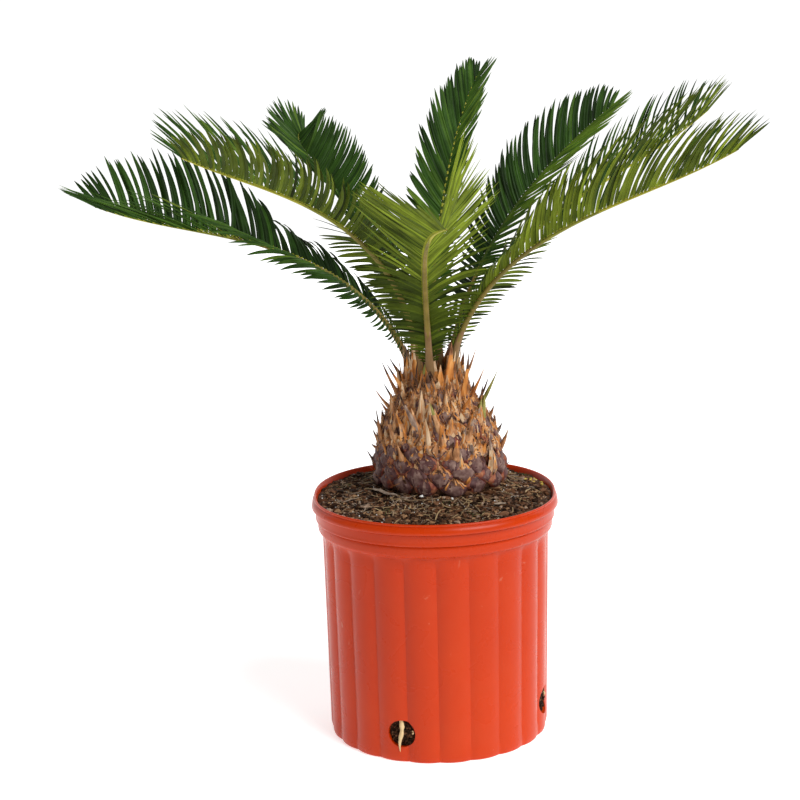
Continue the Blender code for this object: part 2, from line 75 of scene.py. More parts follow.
# Angles in degrees above which an edge stays sharp
CREASE = 40.0
POT_CREASE = 35.0
CRUMB_CREASE = 25.0
PEBBLE_CREASE = 60.0
BARK_CREASE = 50.0
FLAKE_CREASE = 35.0
CORE_CREASE = 60.0
RIB_CREASE = 60.0
LEAF_CREASE = 22.0
NO_CREASE = 180.0

# Pot
RIM_RADIUS = 0.127
POT_HEIGHT = 0.2505
WALL = 0.0020
BODY_TOP_RADIUS = 0.1168
BODY_BASE_RADIUS = 0.1140
FOOT_RADIUS = 0.1115
FOOT_CORNER = 0.006
BAND_RADIUS = 0.1230
COLLAR_RADIUS = 0.1200
BAND_BOTTOM = 0.2275
BODY_TOP = 0.2155
BODY_SLICES = 36
FRONT_HEADING = -90.0
FLUTES = 22
STEPS_A_FLUTE = 16
FLUTE_DEPTH = 0.0030
FLUTE_POWER = 2.2
FLUTE_DEPTHS = ((0.0, 0.7 * FLUTE_DEPTH), (3.0 * FOOT_CORNER, FLUTE_DEPTH), (BODY_TOP - 0.0050, FLUTE_DEPTH),
                (BODY_TOP - 0.0010, 0.0))
INNER_TOP_RADIUS = BODY_TOP_RADIUS - FLUTE_DEPTH - WALL
INNER_BASE_RADIUS = BODY_BASE_RADIUS - FLUTE_DEPTH - WALL
RIM_LIFT = 0.0050
RIM_BULGE = 0.0060
RIM_INSIDE = 0.0882
# Radii and heights: the inside, the rim's bead, then down the lip, the band, the collar and the foot
INSIDE = ((0.0, WALL), (INNER_BASE_RADIUS, WALL), (INNER_TOP_RADIUS, BODY_TOP),
          (COLLAR_RADIUS - WALL, BODY_TOP + WALL), (COLLAR_RADIUS - WALL, BAND_BOTTOM),
          (BAND_RADIUS - WALL, BAND_BOTTOM + WALL), (BAND_RADIUS - WALL, POT_HEIGHT - 0.0025))
BEAD_RADIUS = 0.0013
BEAD_CENTRE = (0.1232, POT_HEIGHT - BEAD_RADIUS)
BEAD_ARC = (175.0, -30.0)
BEAD_STEPS = 8
LIP = ((0.1238, POT_HEIGHT - 0.0028), (0.1241, POT_HEIGHT - 0.0031), (0.1250, POT_HEIGHT - 0.0039),
       (0.1257, POT_HEIGHT - 0.0048), (0.1263, POT_HEIGHT - 0.0060), (0.1267, POT_HEIGHT - 0.0074),
       (0.1270, POT_HEIGHT - 0.0088), (0.1269, POT_HEIGHT - 0.0098), (0.1263, POT_HEIGHT - 0.0105),
       (0.1250, POT_HEIGHT - 0.0109), (0.1236, POT_HEIGHT - 0.0110), (0.1230, POT_HEIGHT - 0.0115))
BAND = ((0.1233, POT_HEIGHT - 0.0118), (0.1231, BAND_BOTTOM + 0.0040), (0.1234, BAND_BOTTOM + 0.0014),
        (0.1228, BAND_BOTTOM + 0.0002), (0.1204, BAND_BOTTOM - 0.0002))
COLLAR = ((0.1208, BAND_BOTTOM - 0.0010), (0.1211, BAND_BOTTOM - 0.0050), (0.1209, BODY_TOP + 0.0022),
          (0.1196, BODY_TOP + 0.0004), (0.1172, BODY_TOP - 0.0004), (BODY_TOP_RADIUS, BODY_TOP - WALL))
FOOT = ((BODY_BASE_RADIUS - 0.0002, FOOT_CORNER - 0.0010), (BODY_BASE_RADIUS - 0.0009, 0.0016),
        (FOOT_RADIUS, 0.0), (0.0, 0.0))
EDGE_ROUNDING = 0.0015
BAND_ROUNDING = 0.0008
FOOT_ROUNDING = 0.0016
ROUNDING_STEPS = 4
LARGEST_ROUNDING = 0.45
# Heading, height and radius of the drain holes, the first of them with a long root
HOLES = ((-109.5, 0.0305, 0.0142), (-15.5, 0.0350, 0.0152), (73.0, 0.0305, 0.0142), (163.0, 0.0305, 0.0142))
CUTTER_LENGTH = 0.05
CUTTER_SIDES = 40

# Potting mix
TRUNK_FOOT = Vector((0.0070, 0.0180, 0.2573))
TRUNK_FOOT_RADIUS = 0.0600
SOIL_EDGE = 0.2455
SOIL_CROWN = 0.2570
SOIL_RADIUS = 0.1206
MOUND = ((0.0, SOIL_CROWN), (0.068, SOIL_CROWN), (0.088, 0.2515), (SOIL_RADIUS, SOIL_EDGE))
SOIL_RINGS = 84
SOIL_SPOKES = 300
SOIL_SLICES = 60
SOIL_GAP = 0.0006
SOIL_MARGIN = 0.004
SOIL_SHOULDER = BODY_TOP + 0.004
SOIL_SIDE_FOOT = 0.004
SOIL_SIDE_HEIGHT = BODY_TOP - 0.006
SOIL_UNDERSIDE = WALL + 0.0005
UNDERSIDE_HOLE = 0.001
SMALLEST_RING = 0.0005
SMALLEST_SIDE_RING = 0.0008
SWELL_SCALE = 55.0
SOIL_SWELL = 0.0022
GRIT_SCALE = 260.0
GRIT_SHIFT = Vector((5.0, 3.0, 1.0))
SOIL_GRIT = 0.0014
SIDE_SCALE = 8.0
SIDE_SCALE_DOWN = 90.0
SIDE_GRIT = 0.0024
# Corners of the even solid are neighbours when they are closer than this, in its own units
PEBBLE_EDGE = 2.1
PEBBLE_TILT = 0.35
PEBBLE_SPREAD = (0.72, 1.15)
CRUMBS = 6800
FOOT_CRUMBS = 700
HOLE_CRUMBS = 150
SMALLEST_CRUMB = 0.0004
CRUMB_SPREAD = 0.0006
LARGEST_CRUMB = 0.0040
CRUMB_LENGTHS = (1.0, 2.2)
CRUMB_HEIGHTS = (0.45, 0.9)
HEAP_HEIGHT = 0.0030
HEAP_REACH = 0.0040
HEAP_SLOPE = 0.6
HOLE_CRUMB_SIZES = (0.0007, 0.0017)
HOLE_CRUMB_DEPTH = 0.0016
HOLE_MARGIN = 0.0022
PERLITE_GRAINS = 210
PERLITE_SIZES = (0.0003, 0.0010)
PERLITE_CLEARANCE = 0.003
PERLITE_SHIFT = 0.03
# Place and size of the two white grains that stand out
NAMED_PERLITE = ((-0.0135, -0.0166, 0.0024), (0.0176, -0.0232, 0.0017))
SEEDS = 9
SEED_PLACE = Vector((0.106, 0.046, 0.0))
SEED_SPREADS = (0.006, 0.010)
SEED_SIZE = 0.0017
SEED_LIFT = 0.0012
STRAWS = 420
STRAW_STEPS = 7
STRAW_MARGIN = 0.012
SHORT_STRAWS = (0.004, 0.016)
LONG_STRAWS = (0.014, 0.028)
SHORT_STRAW_SHARE = 0.8
STRAW_RADII = (0.00022, 0.0008)
STRAW_BEND = 45
STRAW_LIFTS = (0.0002, 0.0018)
NAMED_STRAW_LIFT = 0.0024
# Place, heading, length, radius, bend and tone of the bits that stand out
NAMED_STRAWS = (
    (-0.0500, -0.0280, -52.0, 0.040, 0.0029, 2.0, 2), (-0.0640, -0.0100, -50.0, 0.024, 0.0008, -12.0, 0),
    (-0.0140, -0.0500, -6.0, 0.040, 0.0007, 46.0, 1), (0.0650, -0.0610, 24.0, 0.013, 0.0022, 0.0, 2),
    (-0.0850, -0.0300, 30.0, 0.018, 0.0009, 30.0, 2), (0.0960, -0.0100, 70.0, 0.020, 0.0010, -20.0, 0),
)
MOSS_BLADES = 260
MOSS_PATCHES = ((0.015, -0.062), (0.092, 0.072), (-0.095, 0.030), (0.040, -0.085), (-0.050, -0.070),
                (0.010, 0.104))
MOSS_SPREADS = (0.006, 0.005)
MOSS_LEANS = (0.2, 1.0)
MOSS_HEIGHTS = (0.0015, 0.0038)
MOSS_HALF_WIDTH = 0.0004
MOSS_SINK = 0.0006
ROOT_WIDTHS = ((0.0, 0.0020), (0.15, 0.0028), (0.3, 0.0018), (0.5, 0.0025), (0.65, 0.0015), (0.8, 0.0013),
               (1.0, 0.0003))
# Length, factor of the width, and how far it comes out of the hole
LONG_ROOT = (0.0320, 1.0, 0.0034)
SHORT_ROOT = (0.0070, 0.7, 0.0)
ROOT_DEPTH = 0.0026
ROOT_FLATNESS = 0.6
ROOT_TOP = 0.0006
ROOT_DRIFT = (-0.0010, 0.0012)
ROOT_WOBBLE = (0.85, 1.15)
ROOT_STEPS = 10
ROOT_SIDES = 8
# Outward from the wall's outside, across and up from the hole's middle
FLECK_PLACE = (-0.0030, 0.0110, 0.0020)
FLECK_SIZE = 0.0016

# Trunk. Rows count up from its foot, and those of the leaf bases are whole numbers
TRUNK_HEAD = Vector((0.0020, 0.0180, 0.3693))
TRUNK_RADII = (TRUNK_FOOT_RADIUS, 0.0640, 0.0635, 0.0618, 0.0598, 0.0570, 0.0520, 0.0450, 0.0380, 0.0325,
               0.0285)
LAST_ROW = len(TRUNK_RADII) - 1
ROW_HEIGHT = (TRUNK_HEAD.z - TRUNK_FOOT.z) / LAST_ROW
UPRIGHT = Vector((0.0, 0.0, 1.0))
CORE_ROWS = 60
CORE_SPOKES = 160
CORE_CAP = ((0.2, 0.93), (0.45, 0.78), (0.7, 0.5), (0.9, 0.24), (1.0, 0.02))
CORE_CAP_HEIGHT = 0.007
WOOL_ROW = 7.6
WOOL_RELIEF = 0.0012
CORE_RELIEF = 0.0006
SCALES_ROUND = 15
SCALE_STEPS_UP = 20
SCALE_STEPS_ACROSS = 16
KITE_ROW = 3.6
SCALE_WIDTHS = (0.86, 1.10)
SCALE_HEIGHTS = (1.85, 2.55)
SCALE_DOMES = (0.70, 1.30)
LOW_SKINS = (0.60, 1.04)
HIGH_SKINS = (0.10, 0.80)
LOWEST_ROW = -0.15
KITE_FADE = 1.2
SCALE_HEADING_SPREAD = 1.5
SCALE_SINK = 0.1
SCALE_ROW_SPREAD = 0.12
SCALE_TILT_SPREAD = 0.12
SCALE_OUTLINE = ((0.0, 0.04), (0.15, 0.40), (0.34, 0.82), (0.5, 1.02), (0.64, 0.92), (0.82, 0.54),
                 (1.0, 0.10))
SCALE_SWELL = ((0.0, 0.0008), (0.08, 0.0034), (0.30, 0.0060), (0.58, 0.0062), (0.76, 0.0044), (0.90, 0.0018),
               (1.0, -0.0010))
FIRST_SHEATH_ROW = 3
TOP_SHEATH_ROW = 7
SHEATH_STEPS = 14
SHEATH_STEPS_ACROSS = 8
SHEATH_BACK = 4
# By row: lengths, half widths and spreads in degrees
SHEATH_LENGTHS = ((3, 0.018), (6, 0.031), (9, 0.042))
SHEATH_HALF_WIDTHS = ((3, 0.0070), (9, 0.0048))
SHEATH_SPREADS = ((3, 20.0), (9, 9.0))
SPINE_LENGTHS = ((2, 0.010), (6, 0.020), (9, 0.032))
SPINE_SPREADS = ((2, 40.0), (9, 20.0))
# How sheaths and spines vary: their headings, lengths, widths, spreads, rows and sway
SHEATH_HEADING_SPREAD = 3.0
SHEATH_LENGTH_FACTORS = (0.75, 1.40)
SHEATH_WIDTH_FACTORS = (0.85, 1.45)
SHEATH_SPREAD_SPREAD = 5
SHEATH_ROW_SHIFTS = (-0.2, 0.3)
SHEATH_SWAY = 0.10
SHEATH_SINK = 0.0006
SPINE_HEADING_SPREAD = 3.5
SPINE_LENGTH_FACTORS = (0.65, 1.25)
SPINE_WIDTHS = (0.0044, 0.0070)
SPINE_SPREAD_SPREAD = 7
SPINE_ROW_SHIFTS = (0.0, 0.6)
SPINE_SWAY = 0.16
SPINE_TIPS = (0.4, 0.8)
# How far a ruled spine keeps from those that stand out, in degrees, and what a row counts in degrees
SPINE_CLEARANCE = 14.0
ROW_DEGREES = 6.0
# The shares of leaf bases that keep a sheath in the first row, where they crowd and elsewhere
FIRST_SHEATHS, CROWDED_SHEATHS, OTHER_SHEATHS = 0.45, 0.86, 0.58
CROWDED_SPINES, OTHER_SPINES = 0.40, 0.24
MIDDLE_HEADING = FRONT_HEADING - 18.0
MIDDLE_HALF = 46.0
FIRST_SPINE_ROW = 2
NAMED_SPINE_FACTOR = 1.2
CROWDED_SPINE_ROW = 8
BRACT_SINK = 0.012
SMALL_BRACTS = 22
# Each stalk has two bracts at its foot, turned from it in degrees, that sway by the same turn
BRACT_TURNS = (-14.0, 13.0)
BRACT_TURN_SPREAD = 3
BRACT_CLEARANCE = 0.0038
BRACT_LENGTHS = (0.030, 0.044)
BRACT_WIDTHS = (0.006, 0.009)
BRACT_SPREADS = (2.0, 9.0)
BRACT_SWAY = -0.008
BRACT_TIPS = (0.45, 0.8)
# Distances from the axis against the radius of the trunk's head
SMALL_BRACT_RADII = (0.25, 1.12)
SMALL_BRACT_LENGTHS = (0.020, 0.036)
SMALL_BRACT_WIDTHS = (0.003, 0.006)
SMALL_BRACT_SPREADS = (0.0, 18.0)
SMALL_BRACT_SWAY = 0.14
FLAKES = 440
FLAKE_STEPS = 5
ALL_FLAKE_ROWS = (0.8, 9.8)
HIGH_FLAKE_ROWS = (3.0, 9.8)
# Lengths and widths of a crust and a strip
CRUST_SIZES = ((0.005, 0.011), (0.0030, 0.0062))
STRIP_SIZES = ((0.006, 0.018), (0.0010, 0.0026))
CRUST_SHARE = 0.45
LOW_FLAKE_SHARE = 0.25
FLAKE_LIFTS = (0.0008, 0.0034)
KITE_FLAKE_LIFT = 0.0018
KITE_FLAKE_FADE = 1.5
FLAKE_SPREADS = (-4.0, 26.0)
FLAKE_SWAY = 0.4
FLAKE_TIPS = (0.3, 0.8)
FIBRES = 1300
FIBRE_STEPS = 5
FIBRE_RADIUS = 0.0002
FIBRE_LENGTHS = (0.004, 0.013)
FIBRE_LIFTS = (0.0015, 0.005)
FIBRE_CURL = 0.35
FIBRE_ROWS = (0.8, 9.0)
WOOL_ROWS = (6.0, 10.0)
LANCE_SIDES = 6
# Widths of a lance, a blade, a crust and a sheath along their length, and how far a sheath stands out
LANCE = ((0.0, 1.0), (0.25, 0.86), (0.6, 0.50), (0.85, 0.22), (1.0, 0.04))
BLADE = ((0.0, 0.80), (0.30, 1.0), (0.6, 0.66), (0.85, 0.28), (1.0, 0.05))
CRUST = ((0.0, 0.55), (0.25, 1.0), (0.6, 0.85), (0.85, 0.55), (1.0, 0.12))
SHEATH = ((0.0, 0.45), (0.10, 0.88), (0.22, 1.0), (0.38, 0.78), (0.55, 0.48), (0.72, 0.30), (0.88, 0.17),
          (1.0, 0.03))
SHEATH_DEPTH = ((0.0, 0.0004), (0.12, 0.0026), (0.30, 0.0044), (0.60, 0.0034), (0.85, 0.0018), (1.0, 0.0003))
# Tones of a scale: three of its skin, then those of the torn fibres
PURPLE, BLOOM, CRIMSON, TORN_TAN, TORN_ORANGE, TORN_UMBER, TORN_PALE = range(7)
# Tones of the spines and sheaths, which the tables give by number: 0 tan, 1 orange, 2 umber and so on
TAN, ORANGE, UMBER, OLIVE, PALE, GREY = range(6)
SPINE_TONES = ((TAN, UMBER), (TAN, TAN), (ORANGE, UMBER), (TAN, PALE), (GREY, UMBER), (UMBER, UMBER))
# Heading, row, length, half width, spread and tip tone of the old leaf stalks that stand out
NAMED_SHEATHS = (
    (-36.0, 0.9, 0.047, 0.0095, 3.0, 5), (-112.0, 4.4, 0.042, 0.0090, 6.0, 0),
    (-126.0, 4.0, 0.040, 0.0085, 10.0, 1), (-98.0, 5.2, 0.038, 0.0080, 5.0, 4),
    (-140.0, 4.6, 0.036, 0.0085, 14.0, 0), (-70.0, 1.6, 0.030, 0.0075, 6.0, 5),
    (150.0, 1.2, 0.040, 0.0090, 6.0, 5), (60.0, 1.0, 0.042, 0.0090, 6.0, 0),
)
# Heading, row, length and width in mm, spread in degrees, sway, and the tones of body and tip
NAMED_SPINES = (
    (186, 8.3, 40, 5.8, 24, 0.0, 0, 2), (205, 9.0, 35, 5.5, 33, 0.0, 1, 2),
    (178, 8.5, 15, 4.5, 40, 0.0, 5, 2), (184, 7.0, 27, 5.2, 36, 0.0, 0, 0),
    (196, 4.5, 33, 6.0, 9, 0.0, 0, 2), (186, 5.2, 14, 7.0, 36, 0.0, 5, 2),
    (181, 4.0, 14, 5.0, 24, 0.0, 0, 2), (182, 3.3, 9, 5.0, 48, 0.0, 0, 5),
    (180, 1.8, 18, 5.0, 32, 0.0, 5, 2), (-40, 8.5, 46, 6.6, 10, 0.0, 1, 2),
    (-26, 8.1, 37, 5.4, 26, 0.0, 1, 0), (-18, 7.1, 47, 6.0, 26, 0.0, 3, 3),
    (-24, 6.3, 25, 6.5, 4, 0.05, 3, 3), (-6, 6.0, 17, 5.0, 22, 0.0, 0, 5),
    (-2, 4.5, 14, 5.5, 28, 0.0, 5, 2), (-4, 3.1, 24, 6.5, 22, 0.0, 0, 4),
    (-112, 5.9, 46, 5.5, 12, -0.36, 5, 2), (-86, 5.6, 36, 6.5, 9, -0.32, 0, 3),
    (-99, 4.7, 30, 4.6, 14, -0.06, 4, 4), (-75, 3.4, 21, 7.5, 13, 0.04, 0, 1),
    (-126, 3.2, 18, 6.5, 12, -0.15, 0, 0), (-58, 5.0, 24, 6.0, 16, 0.10, 0, 5),
    (-140, 5.0, 26, 5.5, 18, 0.05, 0, 2), (-45, 3.6, 18, 6.0, 18, 0.1, 1, 0),
)
# Heading, distance from the axis, length and width in mm, sway, and the tones of body and tip, where 0
# is orange and 1 is tan
NAMED_BRACTS = (
    (-128, 28, 46, 10.0, -0.02, 0, 4), (-62, 29, 52, 11.0, 0.05, 0, 1), (-90, 22, 34, 7.0, 0.02, 0, 1),
    (-150, 30, 34, 6.5, -0.18, 1, 2), (-165, 27, 36, 6.0, -0.16, 2, 2), (-108, 29, 28, 8.0, 0.06, 0, 0),
    (-75, 30, 30, 8.0, -0.05, 0, 1), (-35, 29, 30, 7.0, 0.10, 1, 0),
)

# Fronds. The tables give a value against the share of the rib's length
CROWN_BASE = 0.3696
RIB_STEPS = 100
RIB_SIDES = 10
RIB_HALF_WIDTH = ((0.0, 0.0056), (0.05, 0.0042), (0.12, 0.0034), (0.30, 0.0026), (0.50, 0.0020),
                  (0.75, 0.0013), (1.0, 0.0006))
RIB_FLATNESS = 0.80
RIB_SUNK = 0.010
FIRST_LEAFLET = 0.055
LAST_LEAFLET = 0.990
CROWDING = 1.12
LEAF_LENGTH = ((0.05, 0.003), (0.10, 0.009), (0.12, 0.014), (0.25, 0.029), (0.40, 0.041), (0.50, 0.057),
               (0.60, 0.073), (0.75, 0.078), (0.90, 0.064), (1.0, 0.034))
LEAF_ANGLE = ((0.12, 82.0), (0.30, 72.0), (0.45, 66.0), (0.60, 57.0), (0.75, 48.0),
              (0.90, 40.0), (1.0, 15.0))
LEAF_LIFT = ((0.12, 0.0), (0.28, 8.0), (0.44, 42.0), (0.52, 48.0), (1.0, 50.0))
LEAF_DROOP = ((0.12, 0.6), (0.34, 0.7), (0.48, 0.0))
CURL_CENTRE = 0.45
ROLL_FADE = (0.40, 0.56)
LEAF_STATIONS = (0.0, 0.025, 0.07, 0.20, 0.34, 0.48, 0.62, 0.76, 0.89, 1.0)
LEAF_WIDTH = 0.0043
LEAF_OUTLINE = ((0.0, 0.80), (0.025, 0.92), (0.07, 1.0), (0.20, 1.0), (0.48, 0.99), (0.62, 0.94),
                (0.76, 0.80), (0.89, 0.52), (1.0, 0.06))
# Across the leaflet in half widths, and off its plane in metres: a grooved upper side, and turned-down
# edges round a keeled underside
LEAF_SECTION = ((-1.0, -0.00055), (-0.55, 0.00030), (0.0, 0.0), (0.55, 0.00030), (1.0, -0.00055),
                (0.45, -0.00010), (0.0, -0.00055), (-0.45, -0.00010))
UPPER_FACES = 4
# How a leaflet's angle and lift follow its neighbours', and how it varies on its own
CLUMP_ANGLE = 1.2
ANGLE_SPREAD = 1.8
WANDER_LIFT = 1.7
LIFT_SPREAD = 2.6
ROLL_SPREAD = 12.0
TWIST_SPREAD = 0.30
# Random shade steps paint light and dark lines between neighbouring leaflets
SHADE_SPREAD = 0.65
LENGTH_FACTORS = (0.90, 1.02)
WIDTH_FACTORS = (0.88, 1.08)
CURL_FACTORS = (0.70, 1.35)
FULL_WIDTH_LENGTH = 0.06
SHARE_SPREAD = 0.0010

# Angles are in degrees and headings are counted from +X. The rib climbs at the angles foot, middle
# and tip, and its heading swings by the square of the way along. A positive roll lifts its right side,
# and late is how much further out than on the others its leaflets begin to rise
Frond = namedtuple("Frond", "name heading swing foot middle tip length start_radius start_heading "
                            "foot_roll tip_roll leaf_scale angle_scale late seed")
FRONDS = (
    Frond("frond_left", 168.5, -14.5, 77.5, 16, 17, 0.417, 0.0225, 174, 14, 14, 1.22, 1.22, 0.10, 11),
    Frond("frond_front_left", 221.5, 12.5, 97, 31, 21, 0.412, 0.0215, 205, -24, 0, 1.30, 1.0, 0.05, 12),
    Frond("frond_back_left", 153, -78, 84, 40, 0, 0.405, 0.0180, 138, 0, 0, 0.88, 1.05, 0.0, 13),
    Frond("frond_back", 71, 3, 88, 57.5, 22.5, 0.382, 0.0205, 98, 0, 0, 0.72, 1.0, 0.0, 14),
    Frond("frond_front", -92.5, 14, 61, 27, 8, 0.397, 0.0200, -101, -8, -5, 1.05, 1.25, 0.0, 15),
    Frond("frond_front_right", -25.5, -6, 84.5, 29, 29, 0.402, 0.0215, -38, 24, 0, 1.16, 1.0, 0.0, 16),
    Frond("frond_right", 8, 19, 87, 34, 35, 0.403, 0.0205, 6, 20, 0, 1.15, 1.05, 0.0, 17),
    Frond("frond_back_right", 39, 3, 79.5, 44, 27.5, 0.376, 0.0215, 46, 0, 0, 0.74, 1.1, 0.0, 18),
    Frond("frond_rear", 100, 4, 74, 10, -28, 0.360, 0.0240, 72, 0, 0, 0.85, 1.0, 0.0, 19),
)

# How the leaflets of one hand of a frond depart from the rule, at five places along the rib: factors
# of their angle and length, degrees added to their lift, their shade from dark to bright, factors of
# their width and their roll in degrees. The curl and the number of leaflets hold for the whole hand.
# The shade is partly the leaflets' own tone and partly painted light and shade: darker where the hand
# lies in shadow, brighter where it is lit, lit from behind or catches a sheen
HABIT_PLACES = (0.12, 0.32, 0.52, 0.75, 1.0)
LEAF_SHADES = 5


def steady(value):
    """The same value at each of the five places."""
    return (value,) * len(HABIT_PLACES)


EVEN = steady(1)
LEVEL = steady(0)
TURNED = steady(16)
Habit = namedtuple("Habit", "angle length lift shade width roll curl count")
PLAIN_HABIT = Habit(EVEN, EVEN, LEVEL, (1.5, 1.8, 2, 2, 2), (.9, .9, .9, .85, .75), TURNED, 0.5, 76)
HABITS = {
    ("frond_left", 1): Habit(
        (.30, .42, .72, 1, 1), (1.2, 1.35, 1.15, 1, 1), (10, 20, 0, 0, 0),
        (.3, .4, .6, 1.0, 1.3), (1.25, 1.25, 1.2, 1.15, 1.0), TURNED, .35, 84),
    ("frond_left", -1): Habit(
        (.85, .70, .55, .62, .9), (1.3, 1.2, 1.15, 1.1, 1), (10, 20, 10, -10, -5),
        (2, 2.0, 2.2, 2.2, 2), (1.1, 1.1, .95, .8, .7), steady(34), .8, 74),
    ("frond_front_left", 1): Habit(
        (.85, .8, 1.25, 1.3, 1.1), (.9, .75, .95, .92, .9), LEVEL,
        (1.4, 1.6, 2.0, 2.4, 2.5), (1.1, 1.0, .72, .62, .52), (20, 20, -20, -38, -38), .7, 82),
    ("frond_front_left", -1): Habit(
        (.9, .85, .8, .85, .9), (1, .95, .85, .8, .85), (0, -10, -18, -16, -5),
        (1.2, 1.5, 1.8, 2, 2), (.9, .82, .78, .75, .62), TURNED, .75, 118),
    ("frond_back_left", 1): Habit(
        (.9, .9, 1, 1, 2.2), (1.2, 1.15, 1.05, .8, .75), (0, 0, 0, 0, -15),
        (1.4, 2, 2.1, 1.9, 1.5), (.95, 1.0, 1.0, .95, .9), TURNED, .45, 112),
    ("frond_back_left", -1): Habit(
        (.9, .9, 1, 1.2, 2.4), (1, 1, 1, .8, .9), (0, 0, -10, -18, 30),
        (1, 1.1, 1.6, 2.0, 2.3), (.95, 1.0, 1.0, 1.0, .9), steady(30), .45, 102),
    ("frond_back", 1): Habit(
        (.8, .7, .58, .62, .8), (1.1, 1.1, 1, .95, 1.2), (0, -10, -22, -22, -10),
        (2.3, 2.4, 2.7, 2.9, 2.8), (.9, .9, .9, .85, .7), steady(20), .45, 82),
    ("frond_back", -1): Habit(
        (.8, .75, .62, .42, .6), (1.3, 1.8, 1.5, 1.2, 1), LEVEL,
        (2.0, 2.9, 2.4, 1.7, 1.5), (1.1, 1.25, 1.25, 1.1, .9), TURNED, .35, 98),
    ("frond_back_right", 1): Habit(
        (.8, .7, .7, .7, .8), (1.1, 1.2, 1.2, 1.1, 1.1), (0, -14, -38, -38, -30),
        (2.1, 3, 3.7, 4, 4), (.8, .8, .7, .6, .6), steady(24), .45, 84),
    ("frond_back_right", -1): Habit(
        (.8, .7, .6, .6, .8), (1.4, 1.6, 1.6, 1.3, 1), LEVEL,
        (.7, .9, 1.1, 1.2, 1.5), (.9, 1.1, 1.15, 1.1, .9), TURNED, .6, 86),
    ("frond_front", 1): Habit(
        (.5, .5, .7, 1.1, 1.7), (2.2, 1.9, 1.3, 1, 1.3), (0, 0, -8, -10, -10),
        (1.3, 1.7, 2.3, 2.7, 2.7), (.6, .55, .58, .62, .6), steady(34), .35, 122),
    ("frond_front", -1): Habit(
        (.5, .6, 1.1, 1.8, 2.1), (2.2, 1.9, 1.4, 1.1, 1.7), (0, 0, -10, -2, 24),
        (1.3, 1.8, 2.8, 3.5, 3.7), (.65, .62, .6, .58, .52), steady(42), .2, 104),
    ("frond_front_right", 1): Habit(
        (.35, .5, .74, .76, .9), (1.3, 1.2, 1, 1, 1), LEVEL,
        (2.1, 2.8, 2.9, 2.6, 2.3), (.75, .82, .85, .74, .62), TURNED, .5, 98),
    ("frond_front_right", -1): Habit(
        (.75, .8, 1, 1, 1), EVEN, LEVEL,
        (1.6, 2, 2.2, 2.1, 2.0), (.9, .85, .75, .68, .62), (16, 16, 0, 0, 0), .6, 70),
    ("frond_right", 1): Habit(
        (.8, .8, .8, .85, 1), (1, 1, .9, 1, 1), LEVEL,
        (1.8, 2.1, 2.2, 2.1, 2.0), (.8, .75, .72, .68, .62), steady(-12), .6, 74),
    ("frond_right", -1): Habit(
        (.6, .6, .72, .8, 1), (.9, .8, .8, .95, 1), LEVEL,
        (1.7, 1.9, 2.1, 2.2, 2.2), (.8, .75, .72, .68, .62), TURNED, .6, 70),
}
# Where along the rib its colours begin, by their place in the list. The last, dark green one paints the
# shade on ribs that lie in shadow behind other fronds
RIB_ZONES = ((0.0, 0), (0.11, 1), (0.28, 2), (0.44, 3), (0.62, 4))
OWN_RIB_ZONES = {
    "frond_left": ((0.0, 0), (0.09, 1), (0.20, 2), (0.60, 3), (0.80, 4)),
    "frond_back_left": ((0.0, 0), (0.11, 1), (0.30, 5), (0.84, 4), (0.97, 5)),
    "frond_front": ((0.0, 0), (0.16, 1), (0.62, 2), (0.74, 4)),
    "frond_back_right": ((0.0, 0), (0.11, 1), (0.30, 5)),
}
ZONE_SPREAD = 0.018
# The back frond's rib: yellow dashes between stretches of the painted shade colour
DASHED_RIB = "frond_back"
DASHES_FROM = 0.4
FIRST_DASH_ZONE = 4
DASHED_RIB_FACTOR = 0.8
PALE_ROOTS = ("frond_left", "frond_front_left", "frond_front", "frond_front_right", "frond_right")

# Colours, linear red, green and blue, from deep to pale
POT_COLOURS = ((0.462, 0.029, 0.0002), (0.525, 0.038, 0.0005))
POT_DUST = (0.53, 0.11, 0.045)
POT_SCUFF = (0.62, 0.24, 0.15)
GROUND_COLOURS = ((0.012, 0.005, 0.002), (0.052, 0.023, 0.011), (0.130, 0.063, 0.032))
GROUND_SPECK = (0.270, 0.150, 0.085)
CRUMB_COLOURS = {
    "crumb_dark": ((0.012, 0.005, 0.002), (0.036, 0.015, 0.007)),
    "crumb_brown": ((0.052, 0.020, 0.008), (0.130, 0.056, 0.025)),
    "crumb_umber": ((0.095, 0.042, 0.020), (0.210, 0.100, 0.052)),
    "crumb_tan": ((0.230, 0.122, 0.058), (0.400, 0.230, 0.120)),
    "crumb_grey": ((0.220, 0.140, 0.095), (0.440, 0.310, 0.225)),
}
CRUMB_SHARES = (0.38, 0.26, 0.16, 0.12, 0.08)
HOLE_CRUMB_SHARES = (0.62, 0.28, 0.10)
STRAW_COLOURS = {
    "straw_gold": ((0.260, 0.165, 0.075), (0.430, 0.300, 0.150)),
    "straw_tan": ((0.190, 0.120, 0.062), (0.330, 0.225, 0.130)),
    "straw_grey": ((0.170, 0.120, 0.085), (0.330, 0.250, 0.185)),
}
STRAW_SHARES = (0.40, 0.35, 0.25)
PERLITE_COLOURS = ((0.62, 0.60, 0.56), (0.86, 0.85, 0.82))
SEED_COLOURS = ((0.50, 0.36, 0.04), (0.70, 0.52, 0.09))
MOSS_COLOURS = ((0.020, 0.050, 0.010), (0.070, 0.130, 0.025))
ROOT_COLOURS = ((0.52, 0.36, 0.16), (0.74, 0.56, 0.31))
